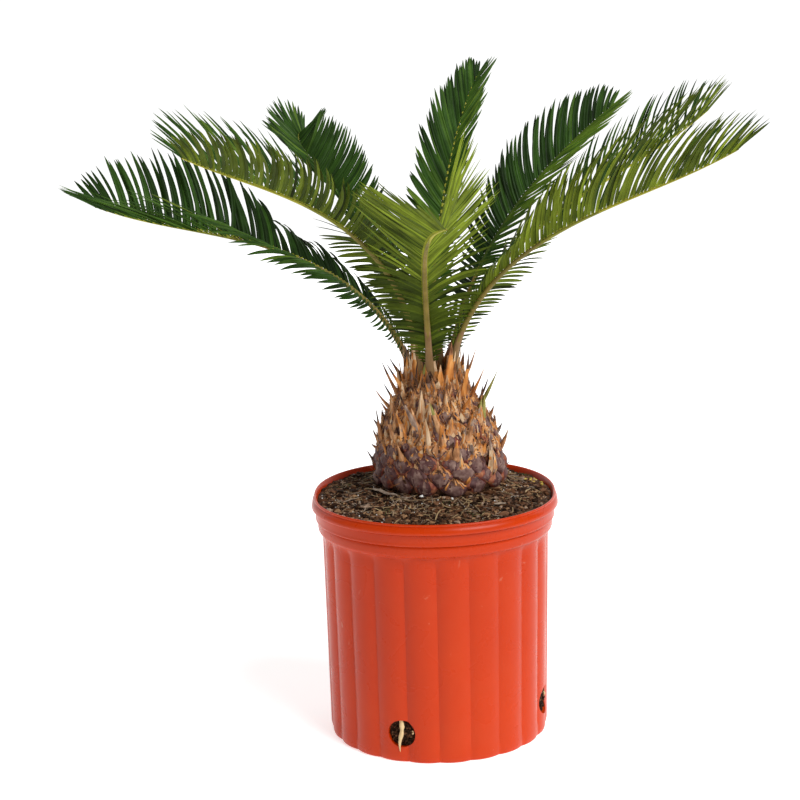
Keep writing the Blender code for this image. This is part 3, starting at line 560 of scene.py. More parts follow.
# Name, colours, scale of the noise, roughness and specular of a scale's skin
SKINS = (
    ("scale_purple", ((0.040, 0.012, 0.010), (0.088, 0.034, 0.032), (0.160, 0.078, 0.070)),
     130.0, (0.45, 0.7), 0.25),
    ("scale_bloom", ((0.090, 0.042, 0.036), (0.175, 0.100, 0.084), (0.290, 0.190, 0.150)),
     150.0, (0.6, 0.85), 0.2),
    ("scale_crimson", ((0.110, 0.018, 0.012), (0.220, 0.056, 0.034), (0.400, 0.160, 0.075)),
     150.0, (0.5, 0.8), 0.2),
)
# The stretch of a noise that runs up the trunk or along a root
GRAIN = (1.0, 1.0, 0.35)
BARK_COLOURS = {
    "bark_tan": ((0.130, 0.048, 0.018), (0.410, 0.190, 0.082), (0.680, 0.390, 0.190)),
    "bark_orange": ((0.210, 0.062, 0.012), (0.530, 0.195, 0.042), (0.720, 0.350, 0.110)),
    "bark_umber": ((0.022, 0.010, 0.006), (0.075, 0.032, 0.016), (0.150, 0.066, 0.034)),
    "bark_pale": ((0.320, 0.190, 0.100), (0.560, 0.370, 0.210), (0.720, 0.520, 0.330)),
    "bark_grey": ((0.090, 0.055, 0.042), (0.230, 0.150, 0.110), (0.380, 0.270, 0.200)),
}
OLIVE_COLOURS = ((0.130, 0.120, 0.026), (0.240, 0.220, 0.050), (0.360, 0.330, 0.110))
WOOL_COLOURS = ((0.110, 0.036, 0.010), (0.340, 0.125, 0.032), (0.520, 0.240, 0.085))
SHEATH_SHARES = (0.20, 0.16, 0.28, 0.06, 0.14, 0.16)
FLAKE_SHARES = (0.36, 0.22, 0.18, 0.14, 0.10)
FLAKE_TIP_SHARES = (0.42, 0.24, 0.24, 0.05, 0.05)
# Each leaf side comes in five copies from shaded to lit, which paint the light and shade on the leaflets.
# Undersides are paler, as real ones are, and brighter still for painted light shining through the leaf.
UPPER_SHADED_TO_LIT = ((0.008, 0.020, 0.003), (0.014, 0.037, 0.005), (0.026, 0.066, 0.008), (0.048, 0.104, 0.012),
                 (0.095, 0.165, 0.016))
UNDER_SHADED_TO_LIT = ((0.020, 0.032, 0.003), (0.040, 0.060, 0.005), (0.072, 0.102, 0.007), (0.125, 0.165, 0.012),
                 (0.200, 0.260, 0.020))
LEAF_ROOT_COLOUR = (0.240, 0.250, 0.025)
RIB_COLOURS = {
    "stalk_tan": ((0.170, 0.095, 0.040), (0.270, 0.165, 0.070)),
    "stalk_olive": ((0.150, 0.112, 0.022), (0.235, 0.172, 0.040)),
    "rib_olive": ((0.130, 0.110, 0.022), (0.200, 0.165, 0.040)),
    "rib_green": ((0.170, 0.175, 0.020), (0.240, 0.240, 0.036)),
    "rib_yellow": ((0.290, 0.280, 0.022), (0.400, 0.370, 0.045)),
    # Dark green that paints shade on ribs lying in shadow behind other fronds
    "rib_painted_shade": ((0.030, 0.050, 0.006), (0.055, 0.085, 0.012)),
}


def clamped(value, low=0.0, high=1.0):
    return min(high, max(low, value))


def between(table, place):
    """Read a table of (place, value) rows, on the straight line between two of them."""
    if place <= table[0][0]:
        return table[0][1]
    for (low, first), (high, second) in zip(table, table[1:]):
        if place <= high:
            return first + (second - first) * (place - low) / (high - low)
    return table[-1][1]


def compass(heading):
    """The level direction at a heading in degrees."""
    angle = math.radians(heading)
    return Vector((math.cos(angle), math.sin(angle), 0.0))


def sideways(outward):
    """A level direction turned a quarter to the left."""
    return Vector((-outward.y, outward.x, 0.0))


def headings(count):
    """Even headings all the way round."""
    return [360.0 * step / count for step in range(count)]


def apart(first, second):
    """The angle between two headings in degrees."""
    return abs((first - second + 180.0) % 360.0 - 180.0)


def turned(first, second, angle):
    """Two crossed directions, turned together by an angle in radians."""
    return (first * math.cos(angle) + second * math.sin(angle),
            second * math.cos(angle) - first * math.sin(angle))


def oval(centre, first, second, count):
    """An even ring of points round a centre, from the ends of its two half axes."""
    ring = []
    for side in range(count):
        angle = 2.0 * math.pi * side / count
        ring.append(centre + first * math.cos(angle) + second * math.sin(angle))
    return ring


def fractal(place, octaves=4, rough=0.7):
    return noise.fractal(place, rough, 2.0, octaves)


def start_draw(part):
    return np.random.default_rng(DRAW_SEEDS[part])


def pick(draw, shares):
    """A place in a list of materials, drawn by their shares."""
    return int(draw.choice(len(shares), p=shares))


class Pile:
    """Points and faces gathered for one mesh, each face marked with its material's place in a list."""

    def __init__(self):
        self.points = []
        self.faces = []
        self.marks = []

    def add(self, points, faces, marks):
        """Marks give each face's, or one for all of them."""
        first = len(self.points)
        self.points.extend(tuple(point) for point in points)
        self.faces.extend(tuple(first + corner for corner in face) for face in faces)
        self.marks.extend([marks] * len(faces) if isinstance(marks, int) else marks)

    def add_rings(self, rings, marks=0):
        """Skin rings of equal counts and close both ends. Marks may give each strip round the ring."""
        count = len(rings[0])
        last = (len(rings) - 1) * count
        faces = []
        for near in range(0, last, count):
            far = near + count
            for index in range(count):
                following = (index + 1) % count
                faces.append((near + index, near + following, far + following, far + index))
        faces += [tuple(reversed(range(count))), tuple(range(last, last + count))]
        if not isinstance(marks, int):
            marks = marks * (len(rings) - 1) + [marks[0]] * 2
        self.add([point for ring in rings for point in ring], faces, marks)


def add_object(name, data):
    item = bpy.data.objects.new(name, data)
    bpy.context.scene.collection.objects.link(item)
    return item


def show_mesh(name, mesh, materials, nodes=(), crease=CREASE):
    for material in materials:
        mesh.materials.append(material)
    mesh.shade_smooth()
    mesh.set_sharp_from_angle(angle=math.radians(crease))
    piece = add_object(name, mesh)
    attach(piece, "root")
    if nodes:
        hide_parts(*nodes)


def pile_mesh(name, pile):
    mesh = bpy.data.meshes.new(name)
    mesh.from_pydata(pile.points, [], pile.faces)
    mesh.polygons.foreach_set("material_index", np.array(pile.marks, np.int32))
    return mesh


def show_pile(name, pile, materials, nodes=(), crease=CREASE):
    show_mesh(name, pile_mesh(name, pile), materials, nodes, crease)


# Materials
def start_material(name):
    material = bpy.data.materials.new(name)
    material.use_nodes = True
    tree = material.node_tree
    shader = tree.nodes["Principled BSDF"]
    place = tree.nodes.new("ShaderNodeTexCoord").outputs["Object"]
    return material, tree, shader, place


def settle(node, **values):
    """Give a node's inputs plain values. An underscore stands for a space in an input's name."""
    for name, value in values.items():
        node.inputs[name.replace("_", " ")].default_value = value
    return node


def add_noise(tree, place, scale, stretch=(1.0, 1.0, 1.0), detail=5.0, distortion=0.0):
    mapping = settle(tree.nodes.new("ShaderNodeMapping"), Scale=stretch)
    texture = settle(tree.nodes.new("ShaderNodeTexNoise"), Scale=scale, Detail=detail, Distortion=distortion)
    tree.links.new(place, mapping.inputs["Vector"])
    tree.links.new(mapping.outputs["Vector"], texture.inputs["Vector"])
    return texture.outputs["Fac"]


def add_ramp(tree, value, colours, low=0.32, high=0.68):
    """Linear colours, spread evenly from a low to a high value."""
    ramp = tree.nodes.new("ShaderNodeValToRGB")
    elements = ramp.color_ramp.elements
    while len(elements) < len(colours):
        elements.new(0.5)
    steps = max(1, len(colours) - 1)
    for index, (element, colour) in enumerate(zip(elements, colours)):
        element.position = low + (high - low) * index / steps
        element.color = (*colour, 1.0)
    tree.links.new(value, ramp.inputs["Fac"])
    return ramp.outputs["Color"]


def add_range(tree, value, low, high, start=0.3, end=0.7):
    mapped = tree.nodes.new("ShaderNodeMapRange")
    settle(mapped, From_Min=start, From_Max=end, To_Min=low, To_Max=high)
    tree.links.new(value, mapped.inputs["Value"])
    return mapped.outputs["Result"]


def add_mix(tree, share, first, colour):
    mix = tree.nodes.new("ShaderNodeMix")
    mix.data_type = "RGBA"
    tree.links.new(share, mix.inputs["Factor"])
    tree.links.new(first, mix.inputs["A"])
    mix.inputs["B"].default_value = (*colour, 1.0)
    return mix.outputs["Result"]


def add_bump(tree, shader, height, strength, distance):
    bump = settle(tree.nodes.new("ShaderNodeBump"), Strength=strength, Distance=distance)
    tree.links.new(height, bump.inputs["Height"])
    tree.links.new(bump.outputs["Normal"], shader.inputs["Normal"])


def natural_material(name, colours, scale, stretch=(1.0, 1.0, 1.0), roughness=(0.6, 0.85),
                     bump=0.5, depth=0.0006, specular=0.4):
    """Colours that vary by a noise of its own scale, with a finer one for roughness and relief."""
    material, tree, shader, place = start_material(name)
    broad = add_noise(tree, place, scale, stretch)
    fine = add_noise(tree, place, scale * 3.1, stretch, detail=6.0)
    tree.links.new(add_ramp(tree, broad, colours), shader.inputs["Base Color"])
    tree.links.new(add_range(tree, fine, *roughness), shader.inputs["Roughness"])
    add_bump(tree, shader, fine, bump, depth)
    settle(shader, Specular_IOR_Level=specular)
    return material


def natural_materials(table, scale, **look):
    return [natural_material(name, colours, scale, **look) for name, colours in table.items()]


def tinted(colour, factor):
    return tuple(min(1.0, channel * factor) for channel in colour)


def leaf_material(name, colour):
    return natural_material(name, (tinted(colour, 0.72), colour, tinted(colour, 1.30)), 46.0,
                            roughness=(0.45, 0.60), bump=0.25, depth=0.0002, specular=0.09)


def plastic_material():
    """Moulded pot plastic: faint draw lines, a dusty bloom and small scuffs."""
    material, tree, shader, place = start_material("terracotta_plastic_pot")
    broad = add_noise(tree, place, scale=7.0, detail=3.0)
    lines = add_noise(tree, place, scale=90.0, stretch=(1.0, 1.0, 0.03), detail=4.0)
    dust = add_noise(tree, place, scale=24.0, detail=8.0, distortion=0.6)
    scuff = add_noise(tree, place, scale=70.0, stretch=(1.0, 1.0, 0.6), detail=9.0, distortion=1.2)
    base = add_ramp(tree, broad, POT_COLOURS)
    dusty = add_mix(tree, add_range(tree, dust, low=0.0, high=0.08, start=0.45, end=0.8), base, POT_DUST)
    worn = add_mix(tree, add_range(tree, scuff, low=0.0, high=0.55, start=0.69, end=0.76), dusty, POT_SCUFF)
    tree.links.new(worn, shader.inputs["Base Color"])
    tree.links.new(add_range(tree, dust, low=0.22, high=0.38), shader.inputs["Roughness"])
    add_bump(tree, shader, lines, strength=0.05, distance=0.0004)
    settle(shader, Specular_IOR_Level=0.20)
    return material


def soil_material():
    """Moist peat and bark: dark brown with paler crumbs."""
    material, tree, shader, place = start_material("potting_mix_ground")
    clods = add_noise(tree, place, scale=120.0, detail=8.0)
    specks = add_noise(tree, place, scale=520.0, detail=6.0)
    share = add_range(tree, specks, low=0.0, high=0.8, start=0.56, end=0.68)
    speckled = add_mix(tree, share, add_ramp(tree, clods, GROUND_COLOURS), GROUND_SPECK)
    tree.links.new(speckled, shader.inputs["Base Color"])
    tree.links.new(add_range(tree, specks, low=0.80, high=1.0), shader.inputs["Roughness"])
    add_bump(tree, shader, specks, strength=0.9, distance=0.0012)
    settle(shader, Specular_IOR_Level=0.25)
    return material


# Pot
def arc(centre, radius, span, steps):
    points = []
    for step in range(steps + 1):
        angle = math.radians(span[0] + (span[1] - span[0]) * step / steps)
        points.append((centre[0] + radius * math.cos(angle), centre[1] + radius * math.sin(angle)))
    return points


def rounded(points, radius):
    """Round the inner corners of a profile, by quadratic curves that start a radius before each."""
    result = [points[0]]
    for before, corner, after in zip(points, points[1:], points[2:]):
        before, corner, after = Vector(before), Vector(corner), Vector(after)
        back, ahead = before - corner, after - corner
        start = corner + back.normalized() * min(radius, LARGEST_ROUNDING * back.length)
        end = corner + ahead.normalized() * min(radius, LARGEST_ROUNDING * ahead.length)
        for step in range(ROUNDING_STEPS + 1):
            share = step / ROUNDING_STEPS
            point = start * (1 - share) ** 2 + corner * 2 * share * (1 - share) + end * share ** 2
            result.append(tuple(point))
    result.append(points[-1])
    return result


def pot_profile():
    """Inner floor and wall, the rim's bead, lip, band and collar, then the body and the underside."""
    body = []
    for step in range(1, BODY_SLICES + 1):
        share = step / BODY_SLICES
        height = (BODY_TOP - WALL) * (1 - share) + FOOT_CORNER * share
        body.append((BODY_TOP_RADIUS + (BODY_BASE_RADIUS - BODY_TOP_RADIUS) * share, height))
    rim = rounded(INSIDE, EDGE_ROUNDING) + arc(BEAD_CENTRE, BEAD_RADIUS, BEAD_ARC, BEAD_STEPS) + list(LIP)
    outside = rounded(BAND, BAND_ROUNDING) + rounded(COLLAR, EDGE_ROUNDING) + body
    return rim + outside + rounded(FOOT, FOOT_ROUNDING)


def fluted(point):
    """Draw the body's outer wall in between its crests, which leaves convex lobes."""
    radius = math.hypot(point.x, point.y)
    heading = math.degrees(math.atan2(point.y, point.x)) - FRONT_HEADING
    off_crest = 2.0 * (heading * FLUTES / 360.0 % 1.0) - 1.0
    shrink = 1.0 - between(FLUTE_DEPTHS, point.z) * abs(off_crest) ** FLUTE_POWER / radius
    return Vector((point.x * shrink, point.y * shrink, point.z))


def warped(point):
    """Bend the rim as the thin plastic does: its rear half stands higher, with fuller shoulders."""
    radius = math.hypot(point.x, point.y)
    if point.z < BODY_TOP or radius < RIM_INSIDE:
        return point
    share = (point.z - BODY_TOP) / (POT_HEIGHT - BODY_TOP)
    share *= (radius - RIM_INSIDE) / (RIM_RADIUS - RIM_INSIDE)
    rear = max(0.0, point.y / radius)
    shoulder = 2.0 * rear * abs(point.x) / radius
    stretch = 1.0 + share * RIM_BULGE * shoulder / radius
    lift = share * RIM_LIFT * (1.0 - (1.0 - rear) ** 2)
    return Vector((point.x * stretch, point.y * stretch, point.z + lift))


def hole_cutters():
    """One mesh of short level bars, one at each drain hole."""
    pile = Pile()
    for heading, height, size in HOLES:
        outward = compass(heading)
        middle = outward * BODY_BASE_RADIUS + UPRIGHT * height
        spokes = oval(Vector(), sideways(outward), UPRIGHT, CUTTER_SIDES)
        pile.add_rings([[middle + outward * end * CUTTER_LENGTH + spoke * size for spoke in spokes]
                        for end in (-0.5, 0.5)])
    return add_object("drain_hole_cutters", pile_mesh("drain_hole_cutters", pile))


def cut_away(mesh, cutter):
    """The mesh with the cutter's solids taken out of it."""
    carrier = add_object("carrier", mesh)
    cut = carrier.modifiers.new("cut", "BOOLEAN")
    cut.operation = "DIFFERENCE"
    cut.solver = "EXACT"
    cut.object = cutter
    bpy.context.view_layer.update()
    graph = bpy.context.evaluated_depsgraph_get()
    result = bpy.data.meshes.new_from_object(carrier.evaluated_get(graph), depsgraph=graph)
    for item in (carrier, cutter):
        bpy.data.objects.remove(item, do_unlink=True)
    return result


def make_pot():
    pile = Pile()
    rings = []
    for radius, height in pot_profile()[1:-1]:
        ring = [compass(heading) * radius + UPRIGHT * height for heading in headings(FLUTES * STEPS_A_FLUTE)]
        if ring[0].z < BODY_TOP and ring[0].x > FOOT_RADIUS - FOOT_CORNER:
            ring = [fluted(point) for point in ring]
        rings.append([warped(point) for point in ring])
    pile.add_rings(rings)
    mesh = cut_away(pile_mesh("pot_shell", pile), hole_cutters())
    show_mesh("pot_shell", mesh, [plastic_material()], ["pot"], POT_CREASE)


# Potting mix
def mound_height(x, y):
    """The smooth surface of the mix, before its grit."""
    height = between(MOUND, math.hypot(x, y))
    share = max(0.0, (height - SOIL_EDGE) / (SOIL_CROWN - SOIL_EDGE))
    return between(MOUND, math.hypot(x - share * TRUNK_FOOT.x, y - share * TRUNK_FOOT.y))


def ground_point(x, y, grit=1.0):
    place = Vector((x, y, 0.0))
    swell = fractal(place * SWELL_SCALE, octaves=3, rough=1.0) * SOIL_SWELL
    small = fractal(place * GRIT_SCALE + GRIT_SHIFT, rough=0.8) * SOIL_GRIT * grit
    return warped(Vector((x, y, mound_height(x, y)))) + UPRIGHT * (swell + small)


def soil_side():
    """Radii and heights of the mix from the collar down and across the pot's floor."""
    top = INNER_TOP_RADIUS - SOIL_GAP
    base = INNER_BASE_RADIUS - SOIL_GAP
    side = [(COLLAR_RADIUS - WALL - SOIL_GAP, SOIL_SHOULDER), (top, BODY_TOP)]
    for step in range(SOIL_SLICES, -1, -1):
        height = SOIL_SIDE_FOOT + SOIL_SIDE_HEIGHT * step / SOIL_SLICES
        side.append((base + (top - base) * step / SOIL_SLICES, height))
    return side + [(0.5 * base, SOIL_UNDERSIDE), (UNDERSIDE_HOLE, SOIL_UNDERSIDE)]


def make_ground(material):
    """The top surface and, under it, the plain body that shows through the drain holes."""
    outwards = [compass(heading) for heading in headings(SOIL_SPOKES)]
    rings = []
    for row in range(SOIL_RINGS + 1):
        radius = max(SMALLEST_RING, SOIL_RADIUS * row / SOIL_RINGS)
        rings.append([ground_point(*(outward * radius)[:2]) for outward in outwards])
    for radius, height in soil_side():
        ring = []
        for outward in outwards:
            place = outward * SIDE_SCALE + UPRIGHT * (height * SIDE_SCALE_DOWN)
            rough = abs(fractal(place, octaves=3, rough=0.8)) * SIDE_GRIT
            ring.append(outward * max(SMALLEST_SIDE_RING, radius - rough) + UPRIGHT * height)
        rings.append(ring)
    pile = Pile()
    pile.add_rings(rings)
    show_pile("potting_mix_ground", pile, [material], ["soil"], NO_CREASE)


def pebble_corners():
    """The twelve corners of an even solid of twenty triangles."""
    golden = (1.0 + math.sqrt(5.0)) / 2.0
    corners = []
    for a in (-1.0, 1.0):
        for b in (-golden, golden):
            corners += [Vector((0.0, a, b)), Vector((a, b, 0.0)), Vector((b, 0.0, a))]
    return corners


def pebble_faces(corners):
    """The triangles between neighbouring corners, turned outwards."""
    faces = []
    for i, j, k in combinations(range(len(corners)), 3):
        a, b, c = corners[i], corners[j], corners[k]
        if max((a - b).length, (b - c).length, (c - a).length) < PEBBLE_EDGE:
            faces.append((i, j, k) if (b - a).cross(c - a).dot(a) > 0 else (i, k, j))
    return faces


PEBBLE_CORNERS = pebble_corners()
PEBBLE_FACES = pebble_faces(PEBBLE_CORNERS)


def pebble(size, draw, long_axis=1.0, flat=1.0):
    """The corners of a rough pebble round the origin."""
    spin = Matrix.Rotation(draw.uniform(0, 2 * math.pi), 3, "Z")
    spin @= Matrix.Rotation(draw.normal(0, PEBBLE_TILT), 3, "X")
    points = []
    for corner in PEBBLE_CORNERS:
        scaled = corner.normalized() * size * draw.uniform(*PEBBLE_SPREAD)
        points.append(spin @ Vector((scaled.x * long_axis, scaled.y, scaled.z * flat)))
    return points


def lay_pebble(pile, centre, points, mark=0):
    pile.add([centre + point for point in points], PEBBLE_FACES, mark)


def from_trunk(x, y):
    return math.hypot(x - TRUNK_FOOT.x, y - TRUNK_FOOT.y)


def spot_on_soil(draw, margin=SOIL_MARGIN):
    """A random place on the mix that lies outside the trunk's foot."""
    while True:
        radius = math.sqrt(draw.uniform(0.0, 1.0)) * (SOIL_RADIUS - margin)
        spot = compass(draw.uniform(0.0, 360.0)) * radius
        if from_trunk(spot.x, spot.y) > TRUNK_FOOT_RADIUS - SOIL_MARGIN:
            return spot


def make_crumbs(materials):
    draw = start_draw("crumbs")
    pile = Pile()
    for index in range(CRUMBS + FOOT_CRUMBS):
        spot = spot_on_soil(draw)
        heaped = 0.0
        if index >= CRUMBS:
            out = draw.exponential(HEAP_REACH)
            spot = compass(draw.uniform(0.0, 360.0)) * (TRUNK_FOOT_RADIUS + out) + TRUNK_FOOT
            heaped = max(0.0, HEAP_HEIGHT - HEAP_SLOPE * out)
        size = min(LARGEST_CRUMB, SMALLEST_CRUMB + draw.exponential(CRUMB_SPREAD))
        points = pebble(size, draw, draw.uniform(*CRUMB_LENGTHS), draw.uniform(*CRUMB_HEIGHTS))
        lift = size * 0.25 + heaped * draw.uniform(0.0, 1.0)
        lay_pebble(pile, ground_point(spot.x, spot.y) + UPRIGHT * lift, points, pick(draw, CRUMB_SHARES))
    show_pile("potting_mix_crumbs", pile, materials, crease=CRUMB_CREASE)


def make_hole_mix(materials):
    """Crumbs that press into the drain holes, just behind the wall's outside."""
    draw = start_draw("hole mix")
    pile = Pile()
    for heading, height, size in HOLES:
        outward = compass(heading)
        for _ in range(HOLE_CRUMBS):
            reach = math.sqrt(draw.uniform(0.0, 1.0)) * (size - HOLE_MARGIN)
            angle = draw.uniform(0.0, 2.0 * math.pi)
            grain = draw.uniform(*HOLE_CRUMB_SIZES)
            spot = outward * (BODY_BASE_RADIUS - FLUTE_DEPTH - draw.uniform(0.0, HOLE_CRUMB_DEPTH))
            spot += sideways(outward) * reach * math.cos(angle) + UPRIGHT * (height + reach * math.sin(angle))
            points = pebble(grain, draw, long_axis=1.3)
            lay_pebble(pile, spot, points, pick(draw, HOLE_CRUMB_SHARES))
    show_pile("drain_hole_mix", pile, materials, crease=CRUMB_CREASE)


def make_perlite(material):
    draw = start_draw("perlite")
    pile = Pile()
    grains = list(NAMED_PERLITE)
    for _ in range(PERLITE_GRAINS):
        grains.append((*spot_on_soil(draw)[:2], draw.uniform(*PERLITE_SIZES)))
    for x, y, size in grains:
        if from_trunk(x, y) < TRUNK_FOOT_RADIUS + PERLITE_CLEARANCE:
            y -= PERLITE_SHIFT
        lay_pebble(pile, ground_point(x, y) + UPRIGHT * (size * 0.5), pebble(size, draw))
    show_pile("potting_mix_perlite", pile, [material], crease=PEBBLE_CREASE)


def make_seeds(material):
    draw = start_draw("seeds")
    pile = Pile()
    for _ in range(SEEDS):
        spot = SEED_PLACE + Vector((*[draw.normal(0, spread) for spread in SEED_SPREADS], 0.0))
        if spot.length > SOIL_RADIUS - SOIL_MARGIN:
            spot *= (SOIL_RADIUS - SOIL_MARGIN) / spot.length
        points = pebble(SEED_SIZE, draw, long_axis=1.5, flat=0.8)
        lay_pebble(pile, ground_point(spot.x, spot.y) + UPRIGHT * SEED_LIFT, points)
    show_pile("potting_mix_seeds", pile, [material], crease=NO_CREASE)


def lying_strip(pile, spot, heading, length, radius, bend, mark, lift):
    """A thin curved bit of straw or bark that follows the surface under it."""
    rings = []
    place = spot - compass(heading) * length * 0.5
    for step in range(STRAW_STEPS + 1):
        share = step / STRAW_STEPS
        forward = compass(heading + bend * (share - 0.5))
        inside = min(1.0, (SOIL_RADIUS - 0.002) / max(0.001, math.hypot(place.x, place.y)))
        centre = ground_point(place.x * inside, place.y * inside, 0.3) + UPRIGHT * (lift + radius * 0.6)
        thick = radius * (0.35 + 0.65 * math.sin(math.pi * min(1.0, 0.15 + 0.8 * share)))
        rings.append(oval(centre, sideways(forward) * thick, UPRIGHT * (thick * 0.6), 4))
        place = place + forward * length / STRAW_STEPS
    pile.add_rings(rings, mark)


def make_straws(materials):
    draw = start_draw("straws")
    pile = Pile()
    for _ in range(STRAWS):
        length = draw.uniform(*(SHORT_STRAWS if draw.random() < SHORT_STRAW_SHARE else LONG_STRAWS))
        lying_strip(pile, spot_on_soil(draw, STRAW_MARGIN), draw.uniform(0, 360), length,
                    draw.uniform(*STRAW_RADII), draw.normal(0, STRAW_BEND), pick(draw, STRAW_SHARES),
                    draw.uniform(*STRAW_LIFTS))
    for x, y, heading, length, radius, bend, mark in NAMED_STRAWS:
        lying_strip(pile, Vector((x, y, 0.0)), heading, length, radius, bend, mark, NAMED_STRAW_LIFT)
    show_pile("potting_mix_straws", pile, materials)


def make_moss(material):
    """Small upright green blades in a few patches."""
    draw = start_draw("moss")
    pile = Pile()
    for index in range(MOSS_BLADES):
        patch = MOSS_PATCHES[index % len(MOSS_PATCHES)]
        spot = Vector([middle + draw.normal(0, spread) for middle, spread in zip(patch, MOSS_SPREADS)])
        root = ground_point(*spot)
        lean = compass(draw.uniform(0, 360)) * draw.uniform(*MOSS_LEANS) + UPRIGHT
        tip = root + lean.normalized() * draw.uniform(*MOSS_HEIGHTS)
        across = compass(draw.uniform(0, 360)) * MOSS_HALF_WIDTH
        base = oval(root - UPRIGHT * MOSS_SINK, across, sideways(across), 4)
        pile.add(base + [tip], [(0, 1, 4), (1, 2, 4), (2, 3, 4), (3, 0, 4), (3, 2, 1, 0)], 0)
    show_pile("potting_mix_moss", pile, [material])


def make_roots(material):
    """Pale roots that show in the drain holes. The first hole's root is long and leans out of it."""
    draw = start_draw("roots")
    pile = Pile()
    for index, (heading, height, size) in enumerate(HOLES):
        outward = compass(heading)
        across = sideways(outward)
        reach, factor, proud = LONG_ROOT if index == 0 else SHORT_ROOT
        rings = []
        for step in range(ROOT_STEPS + 1):
            share = step / ROOT_STEPS
            wide = between(ROOT_WIDTHS, share) * factor
            drift = across * (ROOT_DRIFT[1] * math.sin(6.0 * share) + ROOT_DRIFT[0])
            centre = outward * (BODY_BASE_RADIUS - ROOT_DEPTH + proud * share ** 0.7) + drift
            centre = centre + UPRIGHT * (height + size - ROOT_TOP - reach * share)
            wobble = draw.uniform(*ROOT_WOBBLE)
            rings.append(oval(centre, across * wide * wobble, outward * wide * ROOT_FLATNESS, ROOT_SIDES))
        pile.add_rings(rings)
        out, along, up = FLECK_PLACE
        fleck = outward * (BODY_BASE_RADIUS + out) + across * along + UPRIGHT * (height + up)
        lay_pebble(pile, fleck, pebble(FLECK_SIZE, draw, flat=1.9))
    show_pile("drain_hole_roots", pile, [material], crease=PEBBLE_CREASE)


def make_potting_mix():
    make_ground(soil_material())
    crumbs = natural_materials(CRUMB_COLOURS, 300.0, bump=0.8, specular=0.08)
    make_crumbs(crumbs)
    make_hole_mix(crumbs[:len(HOLE_CRUMB_SHARES)])
    make_straws(natural_materials(STRAW_COLOURS, 200.0))
    make_perlite(natural_material("perlite_white", PERLITE_COLOURS, 400.0))
    make_seeds(natural_material("seed_yellow", SEED_COLOURS, 400.0, roughness=(0.35, 0.5)))
    make_moss(natural_material("moss_green", MOSS_COLOURS, 300.0))
    make_roots(natural_material("root_pale", ROOT_COLOURS, 260.0, stretch=GRAIN))


# Trunk. On a leaf base u runs across it from -1 to 1, and v up it from 0 to 1
def bulb_radius(row):
    return float(np.interp(clamped(row, high=float(LAST_ROW)), range(LAST_ROW + 1), TRUNK_RADII))


def bulb_point(heading, row, proud=0.0):
    """A place on the bulb, or proud of it, at a heading and at a row of its lattice."""
    centre = TRUNK_FOOT.lerp(TRUNK_HEAD, row / LAST_ROW)
    slope = (bulb_radius(row + 0.5) - bulb_radius(row - 0.5)) / ROW_HEIGHT
    normal = (compass(heading) - UPRIGHT * slope).normalized()
    return centre + compass(heading) * bulb_radius(row) + normal * proud


def bulb_axes(heading, row):
    """Outward, sideways and upward directions at a place on the bulb."""
    across = compass(heading + 90.0)
    upward = (bulb_point(heading, row + 0.4) - bulb_point(heading, row - 0.4)).normalized()
    return across.cross(upward).normalized(), across, upward


def make_core(materials):
    """The dark bulb behind the scales, and the woolly top between the leaf stalks."""
    rings = []
    for step in range(CORE_ROWS + 1):
        row = LAST_ROW * step / CORE_ROWS
        relief = WOOL_RELIEF if row > WOOL_ROW else CORE_RELIEF
        ring = []
        for heading in headings(CORE_SPOKES):
            rough = fractal(compass(heading) * 7.0 + UPRIGHT * (row * 1.1))
            streak = noise.noise(compass(heading) * 26.0 + UPRIGHT * (row * 0.5))
            ring.append(bulb_point(heading, row, relief * (rough + streak)))
        rings.append(ring)
    for share, width in CORE_CAP:
        ring = []
        for outward in map(compass, headings(CORE_SPOKES)):
            rough = 1.0 + 0.12 * fractal(outward * 9.0 + Vector((share, 0.0, 3.0)), 3)
            radial = outward * TRUNK_RADII[-1] * width * rough
            ring.append(TRUNK_HEAD + radial + UPRIGHT * (CORE_CAP_HEIGHT * share))
        rings.append(ring)
    pile = Pile()
    pile.add_rings(rings, 1)
    bare = int(CORE_ROWS * WOOL_ROW / LAST_ROW) * CORE_SPOKES
    pile.marks[:bare] = [0] * bare
    show_pile("trunk_core", pile, materials, ["trunk"], CORE_CREASE)


def scale_mark(u, v, skin, seed, low):
    """Purple skin with a grey bloom and a crimson margin, or torn fibres where the skin has gone."""
    torn = fractal(Vector((u * 3.2, v * 3.6, 2.0)) + seed)
    streak = noise.noise(Vector((u * 7.0, v * 1.6, 5.0)) + seed)
    if v + 0.22 * torn > skin:
        grain = streak + 0.5 * torn
        if grain < -0.32 + 0.34 * low:
            return TORN_UMBER
        if grain > 0.26:
            return TORN_ORANGE
        return TORN_PALE if grain > 0.16 + 0.20 * low else TORN_TAN
    own = noise.noise(seed * 2.3)
    if abs(u) + 0.26 * torn > 0.78 - 0.7 * own or v < 0.13 + 0.08 * torn:
        return CRIMSON
    return BLOOM if abs(u) + 0.9 * abs(v - 0.45) + 0.5 * streak + 0.4 * torn < 0.42 - 0.6 * own else PURPLE


